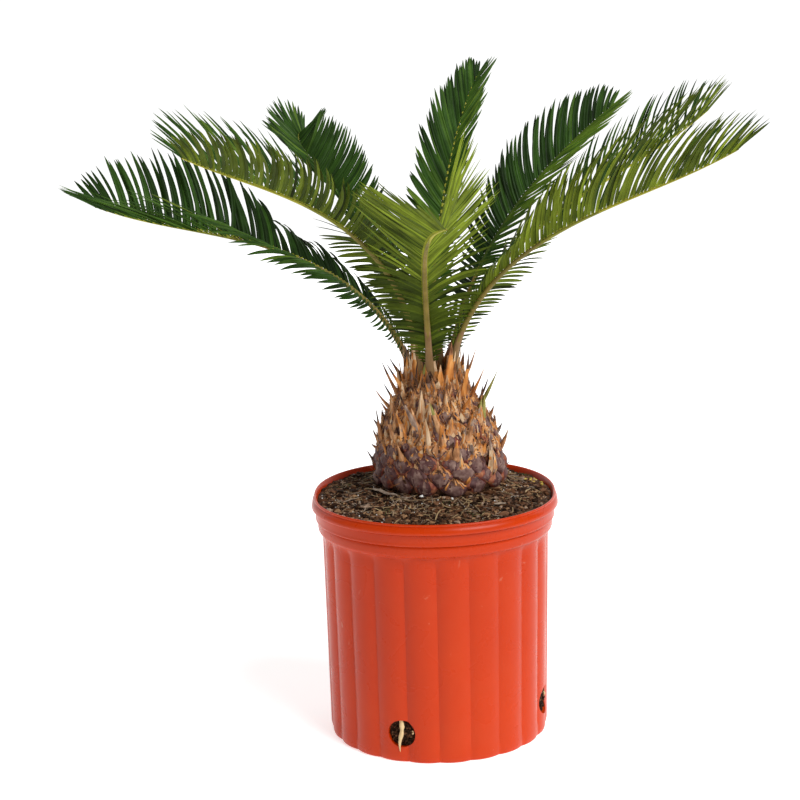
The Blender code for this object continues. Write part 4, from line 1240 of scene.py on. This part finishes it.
def add_scale(pile, heading, row, draw):
    """One leaf base: a smooth kite-shaped dome low on the trunk, a rough and torn one higher up."""
    low = clamped((KITE_ROW - row) / KITE_FADE)
    half_width = math.radians(180.0 / SCALES_ROUND) * bulb_radius(row) * draw.uniform(*SCALE_WIDTHS)
    tall = draw.uniform(*SCALE_HEIGHTS)
    skin = draw.uniform(*(LOW_SKINS if low > 0.4 else HIGH_SKINS))
    dome = draw.uniform(*SCALE_DOMES) * (0.60 + 0.30 * low)
    coarse = 0.0003 + 0.0010 * (1.0 - low)
    tilt = draw.normal(0, SCALE_TILT_SPREAD)
    seed = Vector((heading * 0.37, row * 1.9, 4.0))
    points = []
    for v in (step / SCALE_STEPS_UP for step in range(SCALE_STEPS_UP + 1)):
        for u in (2.0 * step / SCALE_STEPS_ACROSS - 1.0 for step in range(SCALE_STEPS_ACROSS + 1)):
            edge = fractal(Vector((v * 4.0, 9.0 + (u > 0.0), 1.0)) + seed, 3)
            wide = between(SCALE_OUTLINE, v) * half_width * (1.0 + (0.05 + 0.10 * (1.0 - low)) * edge)
            off = math.degrees(wide * (u + tilt * (v - 0.5)) / bulb_radius(row))
            height = row + tall * (v - 0.5) + 0.3 * tilt * u
            rough = fractal(Vector((u * 2.6, v * 3.0, 0.0)) + seed)
            fibre = noise.noise(Vector((u * 10.0, v * 1.6, 7.0)) + seed)
            smooth = between(SCALE_SWELL, v) * (1.0 - 0.80 * abs(u) ** 2.6)
            proud = smooth * dome + coarse * rough
            if v > skin:
                proud += 0.0010 * fibre + 0.0012 * abs(rough)
            points.append(bulb_point(heading + off, max(LOWEST_ROW, height), proud))
    faces = []
    marks = []
    stride = SCALE_STEPS_ACROSS + 1
    for j in range(SCALE_STEPS_UP):
        for i in range(SCALE_STEPS_ACROSS):
            first = j * stride + i
            faces.append((first, first + 1, first + stride + 1, first + stride))
            u = 2.0 * (i + 0.5) / SCALE_STEPS_ACROSS - 1.0
            marks.append(scale_mark(u, (j + 0.5) / SCALE_STEPS_UP, skin, seed, low))
    pile.add(points, faces, marks)


def lattice(draw, rows, spread):
    """The row and heading of every leaf base. Alternate rows are half a step round."""
    for row in rows:
        for step in range(SCALES_ROUND):
            heading = FRONT_HEADING + 360.0 * (step + 0.5 * (row % 2)) / SCALES_ROUND
            yield row, heading + draw.normal(0, spread)


def make_scales(materials):
    draw = start_draw("scales")
    pile = Pile()
    for row, heading in lattice(draw, range(LAST_ROW - 1, 0, -1), SCALE_HEADING_SPREAD):
        add_scale(pile, heading, row - SCALE_SINK + draw.normal(0, SCALE_ROW_SPREAD), draw)
    show_pile("trunk_scales", pile, materials, crease=BARK_CREASE)


def sheath_mark(u, v, tone, seed):
    """Streaks of tan, orange and pale fibre with a dark foot and a dark or pale tip."""
    torn = fractal(Vector((u * 1.8, v * 2.6, 2.0)) + seed)
    streak = noise.noise(Vector((u * 4.5, v * 0.9, 5.0)) + seed)
    if v > 0.70 + 0.12 * torn:
        return tone
    if v < 0.07 + 0.06 * torn or streak + 0.6 * torn < -0.52:
        return UMBER
    grain = streak + 0.45 * torn
    if grain > 0.06:
        return PALE if grain > 0.30 else ORANGE
    return GREY if grain < -0.30 else TAN


def add_sheath(pile, heading, row, length, half_width, spread, tone, draw):
    """The rest of an old leaf stalk: a rough wedge that climbs the trunk and ends in a free point."""
    seed = Vector((heading * 0.53, row * 2.3, 8.0))
    place = bulb_point(heading, row, -SHEATH_SINK)
    outward, across, upward = bulb_axes(heading, row)
    sway = draw.normal(0, SHEATH_SWAY)
    rings = []
    for v in (step / SHEATH_STEPS for step in range(SHEATH_STEPS + 1)):
        edge = fractal(Vector((v * 5.0, 3.0, 1.0)) + seed, 3)
        wide = half_width * between(SHEATH, v) * (1.0 + 0.16 * edge)
        deep = between(SHEATH_DEPTH, v)
        ring = []
        for u in (2.0 * step / SHEATH_STEPS_ACROSS - 1.0 for step in range(SHEATH_STEPS_ACROSS + 1)):
            ridge = noise.noise(Vector((u * 4.5, v * 0.9, 5.0)) + seed)
            rough = fractal(Vector((u * 2.4, v * 6.0, 0.0)) + seed)
            lift = deep * (1.0 - abs(u) ** 2.4) * (1.0 + 0.45 * ridge) + 0.0007 * rough * (1.0 - v)
            ring.append(place + across * wide * u + outward * lift)
        for u in (1.0 - 2.0 * step / SHEATH_BACK for step in range(1, SHEATH_BACK)):
            ring.append(place + across * wide * 0.9 * u - outward * deep * 0.25)
        rings.append(ring)
        lean = math.radians(spread) * max(0.0, (v - 0.25) / 0.75) ** 0.8
        free = UPRIGHT * math.cos(lean) + compass(heading) * math.sin(lean) + across * sway * (1.0 + v)
        share = clamped((v - 0.15) / 0.4)
        place = place + (upward * (1.0 - share) + free * share).normalized() * length / SHEATH_STEPS
    marks = []
    for step in range(SHEATH_STEPS):
        for side in range(len(rings[0])):
            u = 2.0 * (side + 0.5) / SHEATH_STEPS_ACROSS - 1.0 if side < SHEATH_STEPS_ACROSS else 0.0
            marks.append(sheath_mark(u, (step + 0.5) / SHEATH_STEPS, tone, seed))
    first = len(pile.faces)
    pile.add_rings(rings)
    pile.marks[first:first + len(marks)] = marks


def make_sheaths(materials):
    draw = start_draw("sheaths")
    pile = Pile()
    for row, heading in lattice(draw, range(FIRST_SHEATH_ROW, LAST_ROW), SHEATH_HEADING_SPREAD):
        crowded = row >= TOP_SHEATH_ROW or apart(heading, MIDDLE_HEADING) < MIDDLE_HALF
        share = CROWDED_SHEATHS if crowded else OTHER_SHEATHS
        if draw.random() > (FIRST_SHEATHS if row == FIRST_SHEATH_ROW else share):
            continue
        length = between(SHEATH_LENGTHS, row) * draw.uniform(*SHEATH_LENGTH_FACTORS)
        half_width = between(SHEATH_HALF_WIDTHS, row) * draw.uniform(*SHEATH_WIDTH_FACTORS)
        spread = between(SHEATH_SPREADS, row) + draw.normal(0, SHEATH_SPREAD_SPREAD)
        add_sheath(pile, heading, row + draw.uniform(*SHEATH_ROW_SHIFTS), length, half_width, spread,
                   pick(draw, SHEATH_SHARES), draw)
    for sheath in NAMED_SHEATHS:
        add_sheath(pile, *sheath, draw)
    show_pile("trunk_sheaths", pile, materials, crease=BARK_CREASE)


def add_lance(pile, root, axes, length, width, spread, sway, marks, draw, flatness, steps=8, profile=LANCE,
              bow=0.30):
    """A flattened lance that leaves the trunk at a spread from upright and bows back towards it.

    Marks are those of its body and its tip, and the share of the length where the tip begins.
    """
    level, upright = axes
    across = level.cross(upright).normalized() * -1.0
    place = root
    rings = []
    twist = draw.normal(0, 0.25)
    wave = draw.uniform(0, 2 * math.pi)
    for share in (step / steps for step in range(steps + 1)):
        angle = math.radians(spread * (1.0 + 0.5 * bow - bow * share))
        forward = upright * math.cos(angle) + level * math.sin(angle)
        forward = (forward + across * (sway + 0.06 * math.sin(wave + 5.0 * share))).normalized()
        flat = (across - forward * across.dot(forward)).normalized()
        flat, face = turned(flat, forward.cross(flat), twist * share)
        wide = 0.5 * width * between(profile, share) * (1.0 + 0.12 * math.sin(2.0 * wave + 9.0 * share))
        thick = max(0.00014, wide * flatness)
        rings.append(oval(place, flat * wide, face * thick, LANCE_SIDES))
        place = place + forward * length / steps
    body, tip, change = marks
    first = len(pile.faces) + LANCE_SIDES * round(steps * change)
    last = len(pile.faces) + LANCE_SIDES * steps
    pile.add_rings(rings, body)
    pile.marks[first:last] = [tip] * (last - first)


def pick_tones(draw):
    return SPINE_TONES[int(draw.integers(len(SPINE_TONES)))]


def make_spines(materials):
    """Old leaf stalks: those that stand out in front and at the sides, and the rest by a rule."""
    draw = start_draw("spines")
    pile = Pile()
    for heading, row, length, width, spread, sway, body, tip in NAMED_SPINES:
        add_lance(pile, bulb_point(heading, row, 2.0 * MM), (compass(heading), UPRIGHT), MM * length,
                  NAMED_SPINE_FACTOR * MM * width, spread, sway, (body, tip, 0.6), draw, flatness=0.70)
    for row, heading in lattice(draw, range(FIRST_SPINE_ROW, LAST_ROW), SPINE_HEADING_SPREAD):
        near = min(apart(heading, spine[0]) + ROW_DEGREES * abs(row - spine[1]) for spine in NAMED_SPINES)
        share = CROWDED_SPINES if row >= CROWDED_SPINE_ROW else OTHER_SPINES
        if near < SPINE_CLEARANCE or draw.random() > share:
            continue
        length = between(SPINE_LENGTHS, row) * draw.uniform(*SPINE_LENGTH_FACTORS)
        spread = between(SPINE_SPREADS, row) + draw.normal(0, SPINE_SPREAD_SPREAD)
        tones = pick_tones(draw)
        root = bulb_point(heading, row + draw.uniform(*SPINE_ROW_SHIFTS), 1.0 * MM)
        add_lance(pile, root, (compass(heading), UPRIGHT), length, draw.uniform(*SPINE_WIDTHS), spread,
                  draw.normal(0, SPINE_SWAY), (*tones, draw.uniform(*SPINE_TIPS)), draw, flatness=0.6)
    show_pile("trunk_spines", pile, materials, crease=BARK_CREASE)


def make_bracts(materials):
    """Flat orange bracts between the leaf stalks, with a broad one at the foot of each stalk."""
    draw = start_draw("bracts")
    pile = Pile()
    centre = TRUNK_HEAD - UPRIGHT * BRACT_SINK

    def add_bract(heading, radius, *shape, flatness=0.2):
        axes = (compass(heading), UPRIGHT)
        add_lance(pile, centre + axes[0] * radius, axes, *shape, draw, flatness=flatness, profile=BLADE)

    for heading, radius, length, width, sway, body, tip in NAMED_BRACTS:
        add_bract(heading, MM * radius, MM * length, MM * width, 4.0, sway, (body, tip, 0.7))
    for frond in FRONDS:
        for turn in BRACT_TURNS:
            heading = frond.start_heading + turn + draw.normal(0, BRACT_TURN_SPREAD)
            add_bract(heading, frond.start_radius + BRACT_CLEARANCE, draw.uniform(*BRACT_LENGTHS),
                      draw.uniform(*BRACT_WIDTHS), draw.uniform(*BRACT_SPREADS), BRACT_SWAY * turn,
                      (0, PALE, draw.uniform(*BRACT_TIPS)))
    for _ in range(SMALL_BRACTS):
        heading = draw.uniform(0.0, 360.0)
        radius = TRUNK_RADII[-1] * draw.uniform(*SMALL_BRACT_RADII)
        tones = pick_tones(draw)
        add_bract(heading, radius, draw.uniform(*SMALL_BRACT_LENGTHS), draw.uniform(*SMALL_BRACT_WIDTHS),
                  draw.uniform(*SMALL_BRACT_SPREADS), draw.normal(0, SMALL_BRACT_SWAY), (*tones, 0.6),
                  flatness=0.25)
    show_pile("crown_bracts", pile, materials, crease=BARK_CREASE)


def make_flakes(materials):
    """Torn strips and crusts that lie up the trunk over the scales."""
    draw = start_draw("flakes")
    pile = Pile()
    for _ in range(FLAKES):
        row = draw.uniform(*(ALL_FLAKE_ROWS if draw.random() < LOW_FLAKE_SHARE else HIGH_FLAKE_ROWS))
        heading = draw.uniform(0.0, 360.0)
        outward, _, upward = bulb_axes(heading, row)
        lengths, widths = CRUST_SIZES if draw.random() < CRUST_SHARE else STRIP_SIZES
        length = draw.uniform(*lengths)
        width = draw.uniform(*widths)
        low = clamped((KITE_ROW - row) / KITE_FLAKE_FADE)
        root = bulb_point(heading, row, draw.uniform(*FLAKE_LIFTS) + KITE_FLAKE_LIFT * low)
        body = pick(draw, FLAKE_SHARES)
        tip = pick(draw, FLAKE_TIP_SHARES)
        add_lance(pile, root, (outward, upward), length, width, draw.uniform(*FLAKE_SPREADS),
                  draw.normal(0, FLAKE_SWAY), (body, tip, draw.uniform(*FLAKE_TIPS)), draw, flatness=0.26,
                  steps=FLAKE_STEPS, profile=CRUST, bow=0.8)
    show_pile("trunk_flakes", pile, materials, crease=FLAKE_CREASE)


def make_fibres(materials):
    """Fine curled threads: two in three are wool near the head, and the rest old leaf anywhere."""
    draw = start_draw("fibres")
    pile = Pile()
    for index in range(FIBRES):
        row = draw.uniform(*(WOOL_ROWS if index % 3 != 0 else FIBRE_ROWS))
        heading = draw.uniform(0.0, 360.0)
        place = bulb_point(heading, row, draw.uniform(*FIBRE_LIFTS))
        outward, across, upward = bulb_axes(heading, row)
        direction = outward * draw.uniform(0.1, 0.8) + across * draw.normal(0, 0.8)
        direction = (direction + upward * draw.normal(0.5, 0.7)).normalized()
        bend = Vector([draw.normal(0, 1) for _ in range(3)]) * FIBRE_CURL
        length = draw.uniform(*FIBRE_LENGTHS)
        rings = []
        for step in range(FIBRE_STEPS + 1):
            side = direction.orthogonal().normalized()
            other = direction.cross(side).normalized()
            thick = FIBRE_RADIUS * (1.0 - 0.7 * step / FIBRE_STEPS)
            rings.append(oval(place, side * thick, other * thick, 4))
            place = place + direction * length / FIBRE_STEPS
            direction = (direction + bend / FIBRE_STEPS * 2.0).normalized()
        pile.add_rings(rings, int(draw.integers(len(materials))))
    show_pile("trunk_fibres", pile, materials)


def make_trunk():
    skins = []
    for name, colours, scale, roughness, specular in SKINS:
        look = {"roughness": roughness, "depth": 0.0007, "specular": specular}
        skins.append(natural_material(name, colours, scale, **look))
    look = {"stretch": GRAIN, "roughness": (0.7, 0.9), "depth": 0.0012, "specular": 0.2}
    tan, orange, umber, pale, grey = natural_materials(BARK_COLOURS, 170.0, bump=1.0, **look)
    olive = natural_material("spine_olive", OLIVE_COLOURS, 170.0, bump=0.5, **look)
    wool = natural_material("bark_wool", WOOL_COLOURS, 300.0, bump=1.0, **look)
    make_core([umber, wool])
    make_scales(skins + [tan, orange, umber, pale])
    make_sheaths([tan, orange, umber, olive, pale, grey])
    make_spines([tan, orange, umber, olive, pale, grey])
    make_bracts([orange, tan, umber, olive, pale, grey])
    make_flakes([tan, orange, pale, umber, grey])
    make_fibres([wool, tan, orange])


# Fronds
def rib_heading(frond, share):
    return frond.heading + frond.swing * share ** 2


def rib_direction(frond, share):
    climb = (frond.foot * (1.0 - share) * (1.0 - 2.0 * share) + frond.middle * 4.0 * share * (1.0 - share)
             + frond.tip * share * (2.0 * share - 1.0))
    climb = math.radians(climb)
    return compass(rib_heading(frond, share)) * math.cos(climb) + UPRIGHT * math.sin(climb)


def rib_path(frond):
    """Walk the rib from the trunk's head in even steps."""
    start = Vector((TRUNK_HEAD.x, TRUNK_HEAD.y, CROWN_BASE))
    path = [start + compass(frond.start_heading) * frond.start_radius]
    for step in range(RIB_STEPS):
        along = rib_direction(frond, (step + 0.5) / RIB_STEPS)
        path.append(path[-1] + along * frond.length / RIB_STEPS)
    return path


def rib_frame(frond, path, share):
    """Centre, direction, right side and upper side of the rib at a share of its length."""
    place = share * RIB_STEPS
    index = min(int(place), RIB_STEPS - 1)
    centre = path[index].lerp(path[index + 1], place - index)
    along = rib_direction(frond, share) if share > 0.0 else UPRIGHT
    side = compass(rib_heading(frond, share) - 90.0)
    fade = clamped((ROLL_FADE[1] - share) / (ROLL_FADE[1] - ROLL_FADE[0]))
    roll = math.radians(frond.tip_roll + (frond.foot_roll - frond.tip_roll) * fade)
    return centre, along, *turned(side, side.cross(along), roll)


def rib_half_width(frond, share):
    return between(RIB_HALF_WIDTH, share) * (DASHED_RIB_FACTOR if frond.name == DASHED_RIB else 1.0)


def rib_mark(frond, row, share):
    if frond.name == DASHED_RIB and share > DASHES_FROM:
        return FIRST_DASH_ZONE + row % 2
    mark = 0
    for start, zone in OWN_RIB_ZONES.get(frond.name, RIB_ZONES):
        if share >= start:
            mark = zone
    return mark


def make_rib(frond, path, materials):
    """The stalk, from its wide foot in the trunk to its thin tip."""
    draw = np.random.default_rng(frond.seed)
    rings = []
    shares = [step / RIB_STEPS for step in range(RIB_STEPS + 1)]
    for share in shares:
        centre, _, side, upper = rib_frame(frond, path, share)
        half = rib_half_width(frond, share)
        rings.append(oval(centre, side * half, upper * half * RIB_FLATNESS, RIB_SIDES))
    sunk = [point - UPRIGHT * RIB_SUNK for point in rings[0]]
    pile = Pile()
    pile.add_rings([sunk] + rings)
    for row in range(RIB_STEPS):
        for index in range(RIB_SIDES):
            share = shares[row] + draw.normal(0, ZONE_SPREAD)
            pile.marks[(row + 1) * RIB_SIDES + index] = rib_mark(frond, row, share)
    show_pile(frond.name + "_rib", pile, materials, [frond.name], RIB_CREASE)


def read_habit(row, share):
    return float(np.interp(share, HABIT_PLACES, row))


def add_leaflet(pile, frond, path, share, hand, draw):
    """One leaflet, by the source's rule: it bends out along its length and tapers to a point."""
    centre, along, side, upper = rib_frame(frond, path, share)
    habit = HABITS.get((frond.name, hand), PLAIN_HABIT)
    clump = noise.noise(Vector((share * 19.0, hand * 3.0, frond.seed * 1.7)))
    wander = noise.noise(Vector((share * 16.0, hand * 5.0, frond.seed * 2.9)))
    length = between(LEAF_LENGTH, share) * frond.leaf_scale
    length *= read_habit(habit.length, share) * draw.uniform(*LENGTH_FACTORS)
    angle = between(LEAF_ANGLE, share) * frond.angle_scale * read_habit(habit.angle, share)
    angle = math.radians(angle + CLUMP_ANGLE * clump + draw.normal(0, ANGLE_SPREAD))
    lift = between(LEAF_LIFT, share - frond.late) + read_habit(habit.lift, share)
    lift = math.radians(lift + WANDER_LIFT * wander + draw.normal(0, LIFT_SPREAD))
    droop = UPRIGHT * -between(LEAF_DROOP, share - frond.late)
    curl = habit.curl * draw.uniform(*CURL_FACTORS)
    outward = side * hand * math.cos(lift) + upper * math.sin(lift)
    roll = math.radians(read_habit(habit.roll, share) + draw.normal(0, ROLL_SPREAD))
    twist = draw.normal(0, TWIST_SPREAD)
    width = 0.5 * LEAF_WIDTH * read_habit(habit.width, share) * draw.uniform(*WIDTH_FACTORS)
    width *= min(1.0, 0.40 + length / FULL_WIDTH_LENGTH)
    half = rib_half_width(frond, share)
    place = centre + side * hand * half * 0.6 + upper * half * 0.5
    rings = []
    for at, following in zip(LEAF_STATIONS, LEAF_STATIONS[1:] + (1.0,)):
        bend = angle * (1.0 + curl * (CURL_CENTRE - at))
        forward = (along * math.cos(bend) + outward * math.sin(bend) + droop * at).normalized()
        across = (along - forward * along.dot(forward)).normalized()
        face = forward.cross(across)
        if face.dot(upper) < 0.0:
            face.negate()
        across, face = turned(across, face, roll + twist * at)
        wide = width * between(LEAF_OUTLINE, at)
        deep = wide / (0.5 * LEAF_WIDTH)
        rings.append([place + across * wide * u + face * f * deep for u, f in LEAF_SECTION])
        place = place + forward * length * (following - at)
    # The copy from shaded to lit: painted light and shade, by place along the rib and by chance
    shade = clamped(round(read_habit(habit.shade, share) + draw.normal(0, SHADE_SPREAD)), 0, LEAF_SHADES - 1)
    sides = len(LEAF_SECTION)
    first = len(pile.faces)
    pile.add_rings(rings, [shade] * UPPER_FACES + [LEAF_SHADES + shade] * (sides - UPPER_FACES))
    if frond.name in PALE_ROOTS:
        pile.marks[first:first + sides] = [2 * LEAF_SHADES] * sides


def make_leaflets(frond, path, materials):
    draw = np.random.default_rng(frond.seed + LEAFLET_SEEDS)
    pile = Pile()
    for hand in (1, -1):
        count = HABITS.get((frond.name, hand), PLAIN_HABIT).count
        for index in range(count):
            step = max(0.0, index + 0.25 * hand) / (count - 1)
            share = FIRST_LEAFLET + (LAST_LEAFLET - FIRST_LEAFLET) * step ** CROWDING
            share = min(LAST_LEAFLET, share + draw.normal(0, SHARE_SPREAD))
            add_leaflet(pile, frond, path, share, hand, draw)
    show_pile(frond.name + "_leaflets", pile, materials, [frond.name], LEAF_CREASE)


def make_fronds():
    # Lit and shaded copies of each leaf side: painted light and shade
    leaves = [leaf_material(f"leaf_upper_{index}", colour) for index, colour in enumerate(UPPER_SHADED_TO_LIT)]
    leaves += [leaf_material(f"leaf_under_{index}", colour) for index, colour in enumerate(UNDER_SHADED_TO_LIT)]
    leaves.append(leaf_material("leaf_root", LEAF_ROOT_COLOUR))
    ribs = natural_materials(RIB_COLOURS, 60.0, roughness=(0.45, 0.65), specular=0.15)
    for frond in FRONDS:
        path = rib_path(frond)
        make_rib(frond, path, ribs)
        make_leaflets(frond, path, leaves)


# Stage
def stage_sheet(name, corners, material):
    mesh = bpy.data.meshes.new(name)
    mesh.from_pydata(corners, [], [(0, 1, 2, 3)])
    mesh.materials.append(material)
    return add_object(name, mesh)


def make_floor():
    """A pale floor that glows a little, as a light table does."""
    material, tree, shader, place = start_material("pale_floor")
    faint = add_noise(tree, place, scale=2.0, detail=2.0)
    tree.links.new(add_ramp(tree, faint, FLOOR_TONES), shader.inputs["Base Color"])
    settle(shader, Roughness=0.8, Specular_IOR_Level=0.2, Emission_Color=WHITE, Emission_Strength=FLOOR_GLOW)
    corners = [(x, y, 0.0) for x, y in ((-1, -1), (1, -1), (1, 1), (-1, 1))]
    floor = stage_sheet("floor", [Vector(corner) * FLOOR_HALF for corner in corners], material)


def make_backdrop():
    """A white lit wall behind the plant, as in a high-key studio."""
    material, _, shader, _ = start_material("lit_backdrop")
    settle(shader, Base_Color=BLACK, Emission_Color=WHITE, Emission_Strength=BACKDROP_LIGHT)
    foot, top = BACKDROP_FOOT, BACKDROP_HEIGHT
    corners = []
    for side, height in ((-1, foot), (1, foot), (1, top), (-1, top)):
        corners.append((side * FLOOR_HALF, BACKDROP_PLACE, height))
    backdrop = stage_sheet("backdrop", corners, material)


def make_light():
    """A plain grey world that shows white to the camera, and a soft sun from the right."""
    world = bpy.data.worlds.new("studio")
    world.use_nodes = True
    tree = world.node_tree
    background = settle(tree.nodes["Background"], Color=WHITE)
    seen = tree.nodes.new("ShaderNodeLightPath").outputs["Is Camera Ray"]
    strength = add_range(tree, seen, WORLD_LIGHT, BACKDROP_LIGHT, start=0.0, end=1.0)
    tree.links.new(strength, background.inputs["Strength"])
    bpy.context.scene.world = world
    light = bpy.data.lights.new("key_light", "SUN")
    light.energy = KEY_LIGHT
    light.angle = math.radians(KEY_SOFTNESS)
    item = add_object("key_light", light)
    item.rotation_euler = Vector(KEY_FROM).to_track_quat("Z", "Y").to_euler()


def make_camera():
    data = bpy.data.cameras.new("camera")
    data.sensor_width = SENSOR
    data.lens = SENSOR * FOCAL_PIXELS / IMAGE_SIDE
    data.shift_x = FRAME_SHIFT / IMAGE_SIDE
    camera = add_object("camera", data)
    camera.matrix_world = (Matrix.Translation(CAMERA_PLACE)
                           @ Matrix.Rotation(math.radians(90.0 - CAMERA_PITCH), 4, "X")
                           @ Matrix.Rotation(math.radians(-CAMERA_ROLL), 4, "Z"))
    bpy.context.scene.camera = camera


make_camera()
make_light()
make_floor()
make_backdrop()
make_pot()
make_potting_mix()
make_trunk()
make_fronds()
bpy.context.scene.view_settings.view_transform = "Standard"
